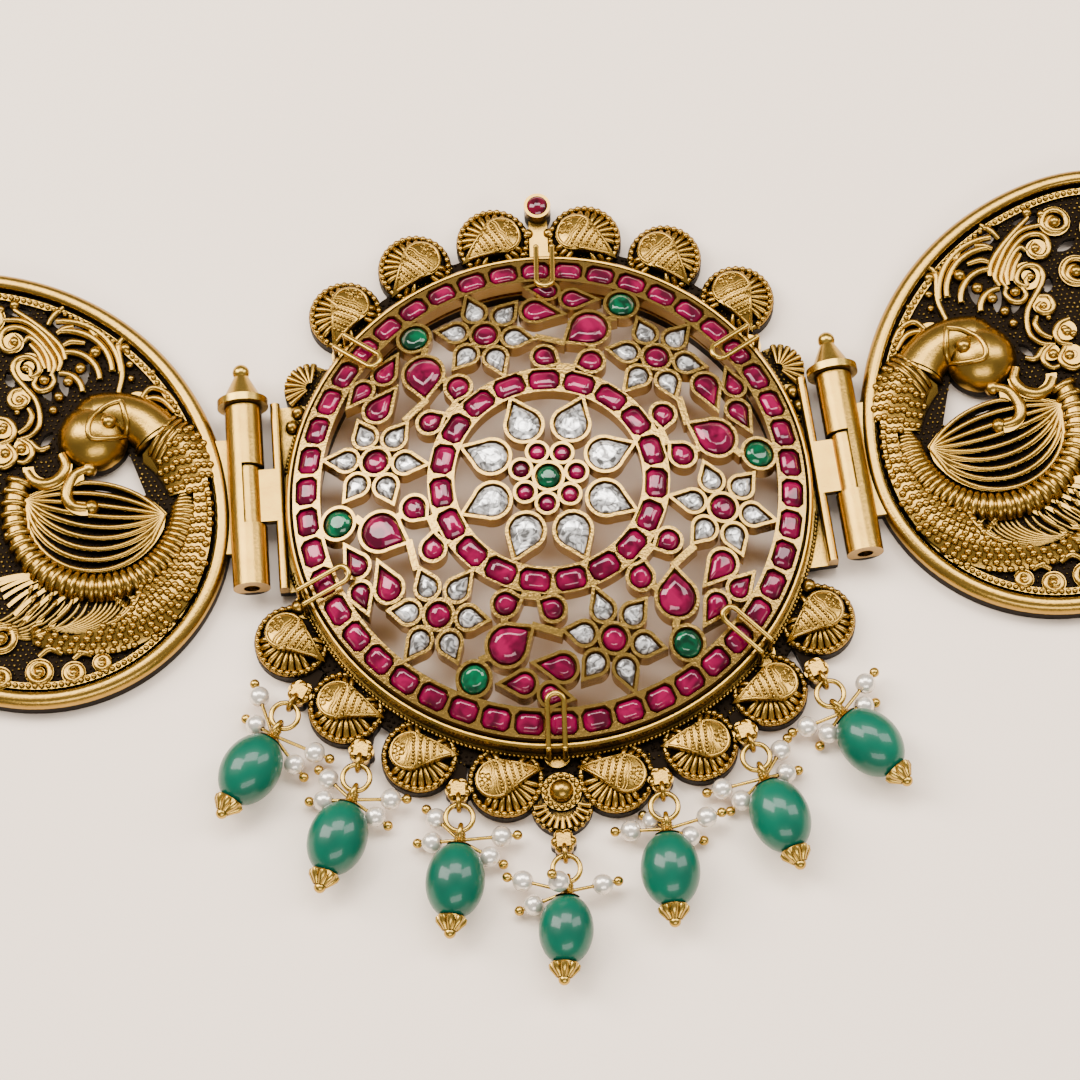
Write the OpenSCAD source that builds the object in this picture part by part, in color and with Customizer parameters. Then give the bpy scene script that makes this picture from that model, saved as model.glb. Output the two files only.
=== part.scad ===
/* [Kundan disc] */
// Radius of the domed disc of set stones
disc_r = 41.2; // [39:0.1:45]
// Rise of the dome above its rim
disc_rise = 8; // [6:0.5:11]
// Depth of the openwork walls
disc_t = 3.4; // [2.6:0.1:4.4]
// Height of the rim's top above the surface
disc_lift = 7; // [6.6:0.1:9]
// Width of the outer band that holds the ring of rubies
outer_band = 4.5; // [4.2:0.1:5.4]
// Inner radius of the inner ring of rubies
inner_ring_r = 15; // [14.4:0.1:16]
// Width of the inner ring of rubies
inner_band = 4.3; // [3.8:0.1:5]
// Thickness of a gold bezel wall
bezel = 0.5; // [0.4:0.05:0.7]
// Depth of a stone's pocket
pocket = 1.9; // [1.4:0.1:2.3]
// Gap all round a stone in its pocket
stone_gap = 0.25; // [0.15:0.05:0.4]
// Width of the plain edges of the outer ring
edge_w = 0.15; // [0.1:0.05:0.3]
// Rubies in the outer ring
outer_count = 46; // [40:1:48]
// Rubies in the inner ring
inner_count = 19; // [16:1:20]

/* [Frame] */
// Thickness of the cast ring under the disc
ring_t = 3; // [2.4:0.1:3.1]
// Width of the raised rim round the disc
rim_w = 0.95; // [0.8:0.05:1.6]
// Height of the raised rim's top
rim_h = 6.2; // [5:0.1:6.5]
// Radius of a lobe
lobe_r = 6.1; // [5.4:0.1:6.6]
// Height of a lobe's plate
lobe_t = 2.3; // [1.8:0.1:3]
// Height of a lobe's dome
lobe_h = 5.2; // [4.4:0.1:6]
// Distance of the lobes from the rim of the disc
lobe_out = 6; // [5.6:0.1:6.4]
// Radius of the bezel on the top stem
stem_bezel_r = 2.2; // [1.8:0.1:2.6]
// Turn of the cast frame in its hinges, in degrees
frame_turn = -0.9; // [-3:0.1:3]
// Wire radius of the six clips that hold the disc
clip_wire = 0.45; // [0.35:0.05:0.55]

/* [Drops] */
// Radius of a green bead
bead_r = 4.65; // [4:0.05:4.8]
// Length of a green bead
bead_l = 11.4; // [10:0.1:12]
// Radius of a pearl
pearl_r = 1.68; // [1.4:0.02:1.7]
// Wire radius of the jump rings
ring_wire = 0.42; // [0.3:0.02:0.5]
// Middle radius of the jump rings
jump_r = 2.15; // [1.9:0.05:2.3]
// Wire radius of the pearl pins
pin_wire = 0.28; // [0.2:0.02:0.34]
// Length of the fluted cap under a bead
cap_l = 2.1; // [1.6:0.1:2.6]

/* [Hinges] */
// Distance of a hinge axis beyond the edge of the disc
hinge_out = 7.4; // [7.2:0.1:10]
// Height of a hinge axis above the surface
hinge_z = 4.3; // [4.3:0.1:5]
// Distance of a hinge's middle above the medallion's middle
hinge_y = 3.2; // [1:0.1:5]
// Radius of a hinge barrel
barrel_r = 3; // [2.8:0.1:3.2]
// Length of a hinge barrel
barrel_l = 31; // [27:0.5:33]
// Radius of a hinge pin
pin_r = 1.1; // [0.8:0.05:1.2]
// Radius of the fluted cap on a pin
pin_cap_r = 4.15; // [3.4:0.05:4.2]
// Length of the fluted cap on a pin
pin_cap_l = 5.4; // [4:0.1:7]
// Lean of the left hinge, in degrees
left_lean = 1.1; // [0:0.1:3]
// Lean of the right hinge, in degrees
right_lean = 5.1; // [0:0.1:5.5]

/* [Side panels] */
// Half of a panel's greatest width
panel_long = 40.4; // [38:0.1:42]
// Half of a panel's least width
panel_short = 34; // [32.5:0.1:35]
// Radius of a panel's outline at its two tighter ends
panel_end_r = 30.4; // [29:0.1:31.5]
// Rise of a panel's greatest width, in degrees
panel_turn = 52; // [40:1:60]
// Distance of a panel's middle from its hinge
panel_x = 39.4; // [39:0.1:44]
// Distance of the left panel's middle above its hinge's middle
left_rise = 5.8; // [2:0.1:8]
// Distance of the right panel's middle above its hinge's middle
right_rise = 8.4; // [2:0.1:9]
// Width of a panel's polished rim
panel_rim = 2.4; // [1.6:0.1:3]
// Height of a panel's rim
panel_h = 3.9; // [3.2:0.1:5]
// Thickness of the pierced plate
plate_t = 1.2; // [0.9:0.1:1.6]
// Height of the scroll relief on the plate
relief = 0.8; // [0.6:0.1:1.6]

/* [Chain] */
// Links in each half of the chain
link_count = 20; // [16:1:22]
// Outside width of a link
link_w = 8; // [7:0.1:9]
// Wire radius of a link
link_wire = 0.85; // [0.7:0.05:1]
// How far back the chain reaches from the middle
chain_back = 168; // [150:1:185]

/* [Clearances] */
// Gap between a hinge pin and its barrel
pin_gap = 0.2; // [0.1:0.05:0.3]
// Gap along the axis between knuckles
knuckle_gap = 0.4; // [0.3:0.05:0.8]
// Gap between pieces that touch on the real belt
fit_gap = 0.12; // [0.1:0.01:0.2]
// Gap between the open hook and its ring
clasp_gap = 1.5; // [1:0.1:3]

/* [Hidden] */
SIDES = ["left", "right"];
DROPS = [for (i = [1:7]) i];
$fn = 48;

GOLD = [0.80, 0.62, 0.32];
ANTIQUE = [0.62, 0.46, 0.24];
RUBY = [0.78, 0.05, 0.32];
GREEN = [0.05, 0.50, 0.33];
WHITE = [0.90, 0.90, 0.88];

// Curve and place helpers
function polar(r, a) = [r * cos(a), r * sin(a)];
function turn(p, a) = [p.x * cos(a) - p.y * sin(a), p.x * sin(a) + p.y * cos(a)];
function mix(a, b, t) = a + (b - a) * t;

hinge_x = disc_r + hinge_out;

// Dome of the disc, a cap of one sphere
dome_r = (disc_r * disc_r + disc_rise * disc_rise) / (2 * disc_rise);
dome_base = disc_lift + disc_rise - dome_r;
function dome_z(r) = dome_base + sqrt(dome_r * dome_r - r * r);
function dome_slope(r) = r / sqrt(dome_r * dome_r - r * r);

// Field between the two ruby rings, which the flowers fill
field_in = inner_ring_r + inner_band;
field_out = disc_r - outer_band;
field_w = field_out - field_in;
function field_r(share) = field_in + field_w * share;
function field_at(share, a) = polar(field_r(share), a);

// Six sectors, each a flower and a cluster of pear stones clockwise of it
SECTORS = [for (k = [0:5]) 108.5 - 60 * k];
petal_r = 0.129 * field_w;
petal_seat = 0.273 * field_w;
petal_tip = field_w / 2 + bezel - petal_seat;
petal_side_tip = petal_tip - 0.6;
flower_r = 0.152 * field_w;
emerald_r = 0.170 * field_w;
emerald_place = [-41.8, 0.853];

// Clusters: angle from the flower, share across the field, round end's radius as a
// share of the field, tip's angle and tip's share across the field
LARGE_PEAR = [[-35.2, 0.495, 0.207, -26.5, 0.276]];
SMALL_PEARS = [
    [-21.3, 0.880, 0.122, -14.5, 0.940],
    [-28.2, 0.795, 0.131, -36.2, 0.845],
    [-17.3, 0.650, 0.150, -27.6, 0.610],
    [-19.7, 0.130, 0.133, -27.5, 0.040],
    [-39.9, 0.145, 0.139, -32.5, 0.050]];
// Short gold bars: two ends, each an angle from the flower and a share of the field
BARS = [
    [[-17.0, 0.355], [-27.5, 0.285]],
    [[-39.3, 0.200], [-37.6, 0.360]],
    [[-41.8, 0.680], [-37.5, 0.580]],
    [[-26.0, 0.030], [-33.5, 0.030]],
    [[-22.0, 0.870], [-27.5, 0.805]]];
bar_w = 1.1;

// How far the small pear stones stand out of their walls
small_pear_rise = 0.4;

// Centre flower
CENTRE_PETALS = [for (k = [0:7]) 20.5 + 45 * k];
CENTRE_RUBIES = [for (k = [0:6]) 7 + 360 / 7 * k];
centre_petal_r = 0.22 * inner_ring_r;
centre_petal_seat = 0.65 * inner_ring_r;
centre_petal_tip = inner_ring_r + bezel - centre_petal_seat;
centre_ruby_r = 0.132 * inner_ring_r;
centre_ruby_seat = 0.303 * inner_ring_r;
centre_emerald_r = 0.176 * inner_ring_r;

// Pear outline: round end at the origin, point towards +X
module pear(r, tip) {
    side = acos(r / tip);
    circle(r = r);
    polygon([[tip, 0], polar(r * 0.985, side + 6), polar(r * 0.985, -side - 6)]);
}

// Pear stone outline, drawn anticlockwise with its point towards +X
function pear_points(r, tip) = let (side = acos(r / tip))
    concat([[tip, 0]], [for (i = [0:8]) polar(r, mix(side, 360 - side, i / 8))]);
function round_points(r) = [for (i = [0:9]) polar(r, 36 * i)];
function cushion_points(w, h) = let (c = 0.22 * min(w, h)) [
    [w / 2, -h / 2 + c], [w / 2, h / 2 - c], [w / 2 - c, h / 2], [-w / 2 + c, h / 2],
    [-w / 2, h / 2 - c], [-w / 2, -h / 2 + c], [-w / 2 + c, -h / 2], [w / 2 - c, -h / 2]];

function heading(from, to) = atan2(to.y - from.y, to.x - from.x);

// Every cell is a place, a turn, a round end's radius and a tip, with a tip of 0 for round
function petal_cells() = [for (a = SECTORS) for (k = [0:5])
    [polar((field_in + field_out) / 2, a) + polar(petal_seat, a + 60 * k), a + 60 * k,
     petal_r, k % 3 == 0 ? petal_tip : petal_side_tip]];
function flower_cells() = [for (a = SECTORS)
    [polar((field_in + field_out) / 2, a), a, flower_r, 0]];
function emerald_cells() = [for (a = SECTORS)
    [field_at(emerald_place[1], a + emerald_place[0]), a, emerald_r, 0]];
function cluster_cells(table) = [for (a = SECTORS) for (row = table)
    let (seat = field_at(row[1], a + row[0]), tip = field_at(row[4], a + row[3]))
    [seat, heading(seat, tip), row[2] * field_w, norm(tip - seat)]];
function centre_petal_cells() = [for (a = CENTRE_PETALS)
    [polar(centre_petal_seat, a), a, centre_petal_r, centre_petal_tip]];
function centre_ruby_cells() = [for (a = CENTRE_RUBIES)
    [polar(centre_ruby_seat, a), a, centre_ruby_r, 0]];
function centre_emerald_cells() = [[[0, 0], 0, centre_emerald_r, 0]];
function free_cells() = concat(petal_cells(), flower_cells(), emerald_cells(),
    cluster_cells(LARGE_PEAR), cluster_cells(SMALL_PEARS), centre_petal_cells(),
    centre_ruby_cells(), centre_emerald_cells());

module cell(c, inset = 0) {
    r = c[2] - inset;
    translate(c[0]) rotate(c[1])
        if (c[3] > 0) pear(r, c[3] * r / c[2]);
        else circle(r = r);
}

// Ring cells: band's inner radius, band's width, count and angle of the first
OUTER_RING = [field_out + edge_w, outer_band - 2 * edge_w, outer_count, 4.1];
INNER_RING = [inner_ring_r, inner_band, inner_count, 13.5];
function ring_pitch(ring) = 360 / ring[2];
function ring_stone_r(ring) = ring[0] + ring[1] / 2;
function ring_cell_w(ring) = ring[1] - 1.2 * bezel;
function ring_cell_h(ring) = 2 * PI * ring_stone_r(ring) / ring[2] - bezel;
function ring_angle(ring, i) = ring[3] + ring_pitch(ring) * i;
module ring_pockets(ring)
    for (i = [0:ring[2] - 1])
        rotate(ring_angle(ring, i)) translate([ring_stone_r(ring), 0])
            polygon(cushion_points(ring_cell_w(ring), ring_cell_h(ring)));

module band(inner, outer) {
    difference() {
        circle(r = outer);
        circle(r = inner);
    }
}

module bar(from, to) {
    translate(from) rotate(heading(from, to))
        translate([-0.2, -bar_w / 2]) square([norm(to - from) + 0.4, bar_w]);
}

module disc_pattern() {
    band(field_out, disc_r);
    band(inner_ring_r, field_in);
    for (c = free_cells()) cell(c);
    for (a = SECTORS) for (b = BARS)
        bar(field_at(b[0][1], a + b[0][0]), field_at(b[1][1], a + b[1][0]));
}

module disc_pockets() {
    ring_pockets(OUTER_RING);
    ring_pockets(INNER_RING);
    for (c = free_cells()) cell(c, bezel);
}

module dome_ball(drop) {
    translate([0, 0, dome_base]) sphere(r = dome_r - drop);
}

disc_top = disc_lift + disc_rise + 1;
module kundan_disc() {
    color(GOLD) difference() {
        intersection() {
            linear_extrude(disc_top) disc_pattern();
            dome_ball(0);
        }
        dome_ball(disc_t);
        difference() {
            linear_extrude(disc_top) disc_pockets();
            dome_ball(pocket);
        }
    }
}

// A cut stone that follows the dome's slope: foot, girdle and table
crown = 0.75;
table_share = 0.58;
module set_stone(place, outline, foot, rise) {
    n = len(outline);
    r = norm(place);
    out = r > 0.01 ? place / r : [0, 0];
    base = dome_z(r);
    slope = dome_slope(r);
    function lift(p, h) = [place.x + p.x, place.y + p.y, base + h - slope * (p * out)];
    points = concat(
        [for (p = outline) lift(p, foot)],
        [for (p = outline) lift(p, rise - crown)],
        [for (p = outline) lift(p * table_share, rise)]);
    polyhedron(points, concat(
        [[for (i = [0:n - 1]) i]],
        [for (k = [0, n]) for (i = [0:n - 1])
            [k + i, k + n + i, k + n + (i + 1) % n, k + (i + 1) % n]],
        [[for (i = [n - 1:-1:0]) 2 * n + i]]), convexity = 2);
}

function spun(points, a) = [for (p = points) turn(p, a)];
stone_foot = -pocket + 0.3;
module cell_stones(cells, rise) {
    for (c = cells) {
        r = c[2] - bezel - stone_gap;
        outline = c[3] > 0 ? pear_points(r, 0.93 * c[3] * r / c[2]) : round_points(r);
        set_stone(c[0], spun(outline, c[1]), stone_foot, rise);
    }
}

module ring_stones(ring, rise) {
    w = ring_cell_w(ring) - 2 * stone_gap;
    h = ring_cell_h(ring) - 2 * stone_gap;
    for (i = [0:ring[2] - 1]) {
        a = ring_angle(ring, i);
        set_stone(polar(ring_stone_r(ring), a), spun(cushion_points(w, h), a),
            stone_foot, rise);
    }
}

module outer_rubies() { color(RUBY) ring_stones(OUTER_RING, 0.25); }
module inner_rubies() { color(RUBY) ring_stones(INNER_RING, 0.25); }
module petal_stones() { color(WHITE) cell_stones(petal_cells(), 0.2); }
module flower_rubies() { color(RUBY) cell_stones(flower_cells(), 0.35); }
module emeralds() { color(GREEN) cell_stones(emerald_cells(), 0.6); }
module large_pears() { color(RUBY) cell_stones(cluster_cells(LARGE_PEAR), 0.6); }
module small_pears() { color(RUBY) cell_stones(cluster_cells(SMALL_PEARS), small_pear_rise); }
module centre_petals() { color(WHITE) cell_stones(centre_petal_cells(), 0.3); }
module centre_rubies() { color(RUBY) cell_stones(centre_ruby_cells(), 0.35); }
module centre_emerald() { color(GREEN) cell_stones(centre_emerald_cells(), 0.6); }

// Cast frame
ring_in = disc_r - 4;
rim_in = disc_r + 0.25;
rim_out = rim_in + rim_w;
lobe_orbit = disc_r + lobe_out;
// Angles from the top, then from the bottom, of the lobes on one side
TOP_LOBES = [9.2, 25.9, 43];
BOTTOM_LOBES = [10.6, 28, 45.4, 62.7];
SHELL_AT = 60.5;
// Drops from left to right: angle of the rosette from the bottom, its distance from the
// lobes' orbit, lean of the jump ring, lean of the bead and size of the bead
DROP_TABLE = [
    [-53.1, 3.8, -30, -33.5, 1], [-37.5, 4.2, -10, -20.5, 1], [-18.7, 3.4, 1, -7.5, 1],
    [0, 9.7, 3, -4.5, 0.92], [18.2, 2.8, 4, 2, 1], [36.1, 2.6, 17, 18.5, 1],
    [53.5, 4, 22.5, 39, 1]];
rosette_r = 1.9;
rosette_to_lug = rosette_r + 0.4;
function drop_turn(i) = DROP_TABLE[i - 1][2] + frame_turn;
function drop_swing(i) = DROP_TABLE[i - 1][3] - DROP_TABLE[i - 1][2];
function drop_size(i) = DROP_TABLE[i - 1][4];
function rosette_at(i) = turn(polar(lobe_orbit + DROP_TABLE[i - 1][1],
    DROP_TABLE[i - 1][0] - 90), frame_turn);
function drop_lug(i) = rosette_at(i) - turn([0, rosette_to_lug], drop_turn(i));

// Mango motif, its round end to the back and its tip forward against the rim
module mango() {
    translate([-0.25, 0.06] * lobe_r) rotate(-24) pear(0.53 * lobe_r, 1.3 * lobe_r);
}

lobe_edge = 0.5;
module lobe(hand) {
    dome = 1.6 * lobe_r;
    linear_extrude(lobe_t) circle(r = lobe_r);
    translate([0, 0, lobe_t]) rotate_extrude()
        translate([lobe_r - lobe_edge - 0.1, 0]) circle(r = lobe_edge);
    intersection() {
        linear_extrude(lobe_h) mirror([hand < 0 ? 1 : 0, 0]) mango();
        translate([0, 0, lobe_h - dome]) sphere(r = dome);
    }
}

// A petalled rosette, a round loop and a fan of flutes, as cast between and under the lobes
loop_r = 1.3;
loop_wire = 0.4;
drop_z = bead_r + 0.05;
module rosette() {
    linear_extrude(3.6) {
        for (k = [0:5]) translate(polar(0.62 * rosette_r, 60 * k)) circle(r = 0.45 * rosette_r);
        circle(r = 0.7 * rosette_r);
    }
    translate([0, 0, 3.4]) sphere(r = 0.55 * rosette_r);
}

module round_loop() {
    rotate([0, 90, 0]) rotate_extrude() translate([loop_r, 0]) circle(r = loop_wire);
}

module lug(i) {
    translate(drop_lug(i)) rotate(drop_turn(i)) {
        translate([0, 0, drop_z]) round_loop();
        translate([0, rosette_to_lug]) rosette();
        translate([-1.1, loop_r - 0.1]) linear_extrude(drop_z + 0.2) square([2.2, 2]);
        translate([-1.4, rosette_to_lug + 0.5]) linear_extrude(2) square([2.8, 4.6]);
    }
}

fan_r = 4.9;
module fan() {
    flutes = 11;
    translate([0, -lobe_orbit - 3.2]) {
        linear_extrude(2.4) intersection() {
            circle(r = fan_r);
            translate([-fan_r, -fan_r]) square([2 * fan_r, fan_r + 1.6]);
        }
        for (k = [0:flutes - 1]) rotate(-170 + 160 * k / (flutes - 1))
            translate([2.6, -0.32, 0]) cube([1.9, 0.64, 3.2]);
        translate([0, 1.8, 0]) cylinder(r = 3.1, h = 3);
        translate([0, 1.8, 3.3]) sphere(r = 1.9);
    }
}

stem_at = disc_r + 10.8;
module stem() {
    translate([-1.5, rim_in]) linear_extrude(2.6) square([3, stem_at - rim_in]);
    translate([0, stem_at]) cylinder(r = stem_bezel_r, h = 5);
    for (s = [-1, 1]) translate([1.7 * s, stem_at - 4, 2.4]) sphere(r = 0.9);
}
stem_seat_r = stem_bezel_r - bezel;
stem_seat_z = 3.4;

// Fluted shells and small balls beside the hinges
module side_shell(hand) {
    translate(polar(rim_out + 1.4, 90 - hand * SHELL_AT)) rotate(90 - hand * SHELL_AT) {
        linear_extrude(lobe_t) circle(r = 4.4);
        for (k = [-3:3]) rotate(17 * k) translate([1.5, -0.35, 0]) cube([2.7, 0.7, 3.4]);
    }
    for (a = [66.5, 70]) translate(concat(polar(rim_out + 1.5, 90 - hand * a), 3))
        sphere(r = 1.15);
    translate(concat(polar(rim_out + 1.5, 90 - hand * 111.5), 3)) sphere(r = 1.2);
}

rod_r = 0.8;
rod_x = -barrel_r - 2.2;
rod_l = barrel_l + 1;
third = barrel_l / 3;
web_t = 1.6;
web_l = third - knuckle_gap - 1;
foot_l = 6.5;
knuckle_r = barrel_r - 0.75;
bore_r = pin_r + pin_gap;
module on_hinge(hand) {
    translate([hand * hinge_x, hinge_y, 0]) rotate(hand < 0 ? left_lean : right_lean)
        mirror([hand < 0 ? 1 : 0, 0, 0]) children();
}

module tube_y(r, l, z = hinge_z) {
    translate([0, l / 2, z]) rotate([90, 0, 0]) cylinder(r = r, h = l);
}

// The medallion's half of a hinge: rod, web and middle knuckle
module medallion_knuckle(hand) {
    on_hinge(hand) difference() {
        union() {
            tube_y(knuckle_r, third - knuckle_gap);
            translate([rod_x, -web_l / 2, hinge_z - web_t / 2])
                cube([-rod_x - bore_r - 0.2, web_l, web_t]);
            translate([rod_x, 0, 0]) tube_y(rod_r, rod_l);
            translate([rod_x - rod_r, -rod_l / 2, 1]) cube([2 * rod_r, rod_l, hinge_z - 1]);
            translate([rod_x - foot_l, -rod_l / 2, 0.8]) cube([foot_l + 0.5, rod_l, 1.8]);
        }
        tube_y(bore_r, barrel_l);
    }
}

CLIP_AT = [88, 37, -40.5, -91.5, 201, 139];
clip_in = disc_r - 5.1;
clip_out = rim_out + clip_wire + 0.25;
clip_pad_r = 2.2;
clip_half = 1.3;
clip_foot = 1.2;
// Straight wire is drawn a little thinner than its bends
straight = 0.95;

// Low ground that joins the lobes to the ring, left out between two angles by each hinge
ground_t = 1.8;
ground_out = 3.2;
GROUND_END = [-24, 44];
module ground() {
    linear_extrude(ground_t) difference() {
        band(ring_in, rim_out + ground_out);
        for (s = [-1, 1]) polygon([[0, 0], for (a = GROUND_END) s * polar(2 * disc_r, s * a)]);
    }
}

module medallion_frame() {
    color(ANTIQUE) difference() {
        union() {
            linear_extrude(ring_t) band(ring_in, rim_out + 0.5);
            for (a = CLIP_AT) rotate(a) translate([rim_out, 0])
                cylinder(r = clip_pad_r, h = ring_t - 0.3);
            rotate(frame_turn) {
                for (hand = [-1, 1]) {
                    for (a = TOP_LOBES) rotate(-hand * a) translate([0, lobe_orbit]) lobe(hand);
                    for (a = BOTTOM_LOBES) rotate(hand * a) translate([0, -lobe_orbit])
                        rotate(180) lobe(hand);
                    side_shell(hand);
                }
                ground();
                fan();
                stem();
            }
            for (i = DROPS) lug(i);
            for (hand = [-1, 1]) medallion_knuckle(hand);
        }
        translate([0, 0, ring_t]) cylinder(r = rim_out + 0.35, h = 10);
        translate([0, 0, -1]) cylinder(r = ring_in, h = 10);
        rotate(frame_turn) translate([0, stem_at, stem_seat_z]) cylinder(r = stem_seat_r, h = 5);
        for (a = CLIP_AT) rotate(a) for (s = [-1, 1])
            translate([clip_out, s * clip_half, clip_foot - 0.2])
                cylinder(r = clip_wire + fit_gap, h = 5);
    }
    color(ANTIQUE) rotate_extrude() polygon([[rim_in, ring_t - 0.5], [rim_out, ring_t - 0.5],
        [rim_out, rim_h - 0.4], [rim_out - 0.35, rim_h], [rim_in + 0.35, rim_h],
        [rim_in, rim_h - 0.4]]);
}

module stem_cabochon() {
    r = stem_seat_r - fit_gap;
    color([0.35, 0.02, 0.08]) rotate(frame_turn) translate([0, stem_at, 0]) intersection() {
        translate([0, 0, stem_seat_z + fit_gap]) cylinder(r = r, h = 3);
        translate([0, 0, stem_seat_z]) sphere(r = 2.3);
    }
}

// A hairpin of wire over the disc's rim, round end inwards, feet down into the ring
module clip() {
    top_in = dome_z(clip_in - clip_half) + clip_wire + small_pear_rise + fit_gap;
    top_out = disc_lift + clip_wire + 0.5;
    run = clip_out - clip_in;
    pitch = atan((top_in - top_out) / run);
    length = norm([run, top_in - top_out]);
    for (s = [-1, 1]) {
        translate([clip_out, s * clip_half, top_out]) {
            sphere(r = 1.06 * clip_wire);
            rotate([0, pitch - 90, 0]) cylinder(r = straight * clip_wire, h = length + 0.2);
        }
        translate([clip_out, s * clip_half, clip_foot])
            cylinder(r = straight * clip_wire, h = top_out - clip_foot);
    }
    translate([clip_in, 0, top_in]) rotate([0, pitch, 0]) rotate([0, 0, 90])
        rotate_extrude(angle = 180) translate([clip_half, 0]) circle(r = clip_wire);
}

module wire_clips() { color(GOLD) for (a = CLIP_AT) rotate(a) clip(); }

// Drops: each is drawn with its bead at the origin and its ring towards +Y
ring_bite = 0.35;
jump_at = jump_r + ring_bite;
hang = 2 * jump_r + 2 * ring_bite;
top_cap_l = 0.6;
function drop_l(i) = bead_l * drop_size(i);
function wire_loop_y(i) = drop_l(i) / 2 + top_cap_l + 0.15 + loop_r;
module at_drop(i) {
    translate(drop_lug(i)) rotate(drop_turn(i)) translate([0, -hang, drop_z])
        rotate(drop_swing(i)) translate([0, -wire_loop_y(i), 0]) children();
}

core_wire = 0.45;
// A bead is an oval a little longer than itself, cut off at both ends
bead_taper = 1.07;
module green_bead(i) {
    r = bead_r * drop_size(i);
    color(GREEN) at_drop(i) rotate([90, 0, 0]) difference() {
        intersection() {
            scale([r, r, bead_taper * drop_l(i) / 2]) sphere(r = 1);
            cylinder(r = 2 * r, h = drop_l(i), center = true);
        }
        cylinder(r = core_wire + fit_gap, h = bead_l + 2, center = true);
    }
}

// Pearls of each drop: place across, place along, height over the bead's axis
PEARL_TABLE = [
    [[-5.8, 11.3, -2], [-3.7, 7.1, -2.1], [6.7, 8, -2], [4.9, 4.8, -2.3]],
    [[-4.8, 9.2, -2], [-4.4, 5.6, -2.1], [5.6, 9, -1.6], [4.1, 5.7, -2.1]],
    [[-4.1, 10.4, -2.2], [-4.4, 6.5, -2.2], [6.4, 8.3, -1.8], [4.8, 5, -2.3]],
    [[-7.1, 8, -1.5], [-1.4, 6.8, 3.2], [-5.2, 4.4, -2.3], [5.4, 7.9, -1.5]],
    [[-5.6, 7.3, -2], [6.4, 8.4, -1.2], [3.6, 5.8, -2.3], [-2, 8.7, -2.2]],
    [[-6.5, 7.9, -2.2], [-4.3, 5.2, -2.6], [4.3, 10.4, -1.8], [3.7, 6.7, -2.1]],
    [[6.4, 8, -1.4], [3.9, 5.6, -2.4], [-5.1, 9, -2.3], [-3.3, 6, -2.35]]];
// The ball at the pins' root dips through the base of the bead's upper cap, inside its wire
root_ball = 0.8;
root_dip = 0.05;
function pin_root(i) = [0, drop_l(i) / 2 + fit_gap + root_ball - root_dip, 0];
pin_ball = 0.8;
module along(from, to) {
    d = to - from;
    translate(from) rotate([0, acos(d.z / norm(d)), atan2(d.y, d.x)]) children();
}

module drop_wire(i) {
    foot = drop_l(i) / 2 + fit_gap;
    stem = wire_loop_y(i) - loop_r;
    color(GOLD) at_drop(i) {
        translate([0, wire_loop_y(i), 0]) round_loop();
        rotate([90, 0, 0]) {
            translate([0, 0, -stem]) cylinder(r = core_wire, h = stem + foot + 0.5);
            translate([0, 0, -foot - top_cap_l]) cylinder(r1 = 0.9, r2 = 1.9, h = top_cap_l);
            translate([0, 0, foot]) {
                cylinder(r1 = 2.25, r2 = 1.15, h = cap_l);
                translate([0, 0, cap_l + 0.4]) sphere(r = 0.95);
            }
        }
        translate(pin_root(i)) sphere(r = root_ball);
        for (p = PEARL_TABLE[i - 1]) along(pin_root(i), p) {
            reach = norm(p - pin_root(i)) + pearl_r + pin_ball + fit_gap;
            translate([0, 0, root_ball / 2]) cylinder(r = pin_wire, h = reach - root_ball / 2);
            translate([0, 0, reach]) sphere(r = pin_ball);
        }
    }
}

module pearls() {
    color([0.93, 0.91, 0.87]) for (i = DROPS) at_drop(i)
        for (p = PEARL_TABLE[i - 1]) along(pin_root(i), p) difference() {
            translate([0, 0, norm(p - pin_root(i))]) sphere(r = pearl_r);
            cylinder(r = pin_wire + fit_gap, h = 20);
        }
}

module jump_rings() {
    color(GOLD) for (i = DROPS) translate(drop_lug(i)) rotate(drop_turn(i))
        translate([0, -jump_at, drop_z])
            rotate_extrude() translate([jump_r, 0]) circle(r = ring_wire);
}

// Side panel, drawn with its hinge's middle at the origin and +X outwards
plate_z = 0.8;
plate_top = plate_z + plate_t;
bead_inset = panel_rim + 1.3;
bead_w = 1.1;
function rise(hand) = hand < 0 ? left_rise : right_rise;

// Oval outline of four arcs, its greatest width along X
end_at = panel_long - panel_end_r;
side_r = (end_at * end_at + panel_short * panel_short - panel_end_r * panel_end_r)
    / (2 * (panel_short - panel_end_r));
side_at = side_r - panel_short;
meet = atan(side_at / end_at);
module oval(inset) {
    reach = panel_end_r - inset - 0.3;
    corners = [for (s = [1, -1]) [s * end_at, 0] + reach * [s * cos(meet), sin(meet)]];
    rotate(panel_turn) {
        for (s = [-1, 1]) translate([s * end_at, 0]) circle(r = panel_end_r - inset);
        intersection() {
            intersection_for(s = [-1, 1]) translate([0, s * side_at]) circle(r = side_r - inset);
            polygon([[end_at, 0], corners[0], [0, 2 * panel_short], corners[1], [-end_at, 0],
                -corners[0], [0, -2 * panel_short], -corners[1]]);
        }
    }
}

module oval_band(outer, inner) {
    difference() {
        oval(outer);
        oval(inner);
    }
}

// Ornament on the panel: places are [out, up] shares of one length, drawn on a round field
// that is then stretched to the oval
motif = 1.03 * panel_short;
function stretched(p) = let (q = turn(p, -panel_turn))
    turn([q.x * (panel_long - panel_rim), q.y * (panel_short - panel_rim)], panel_turn);

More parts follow.
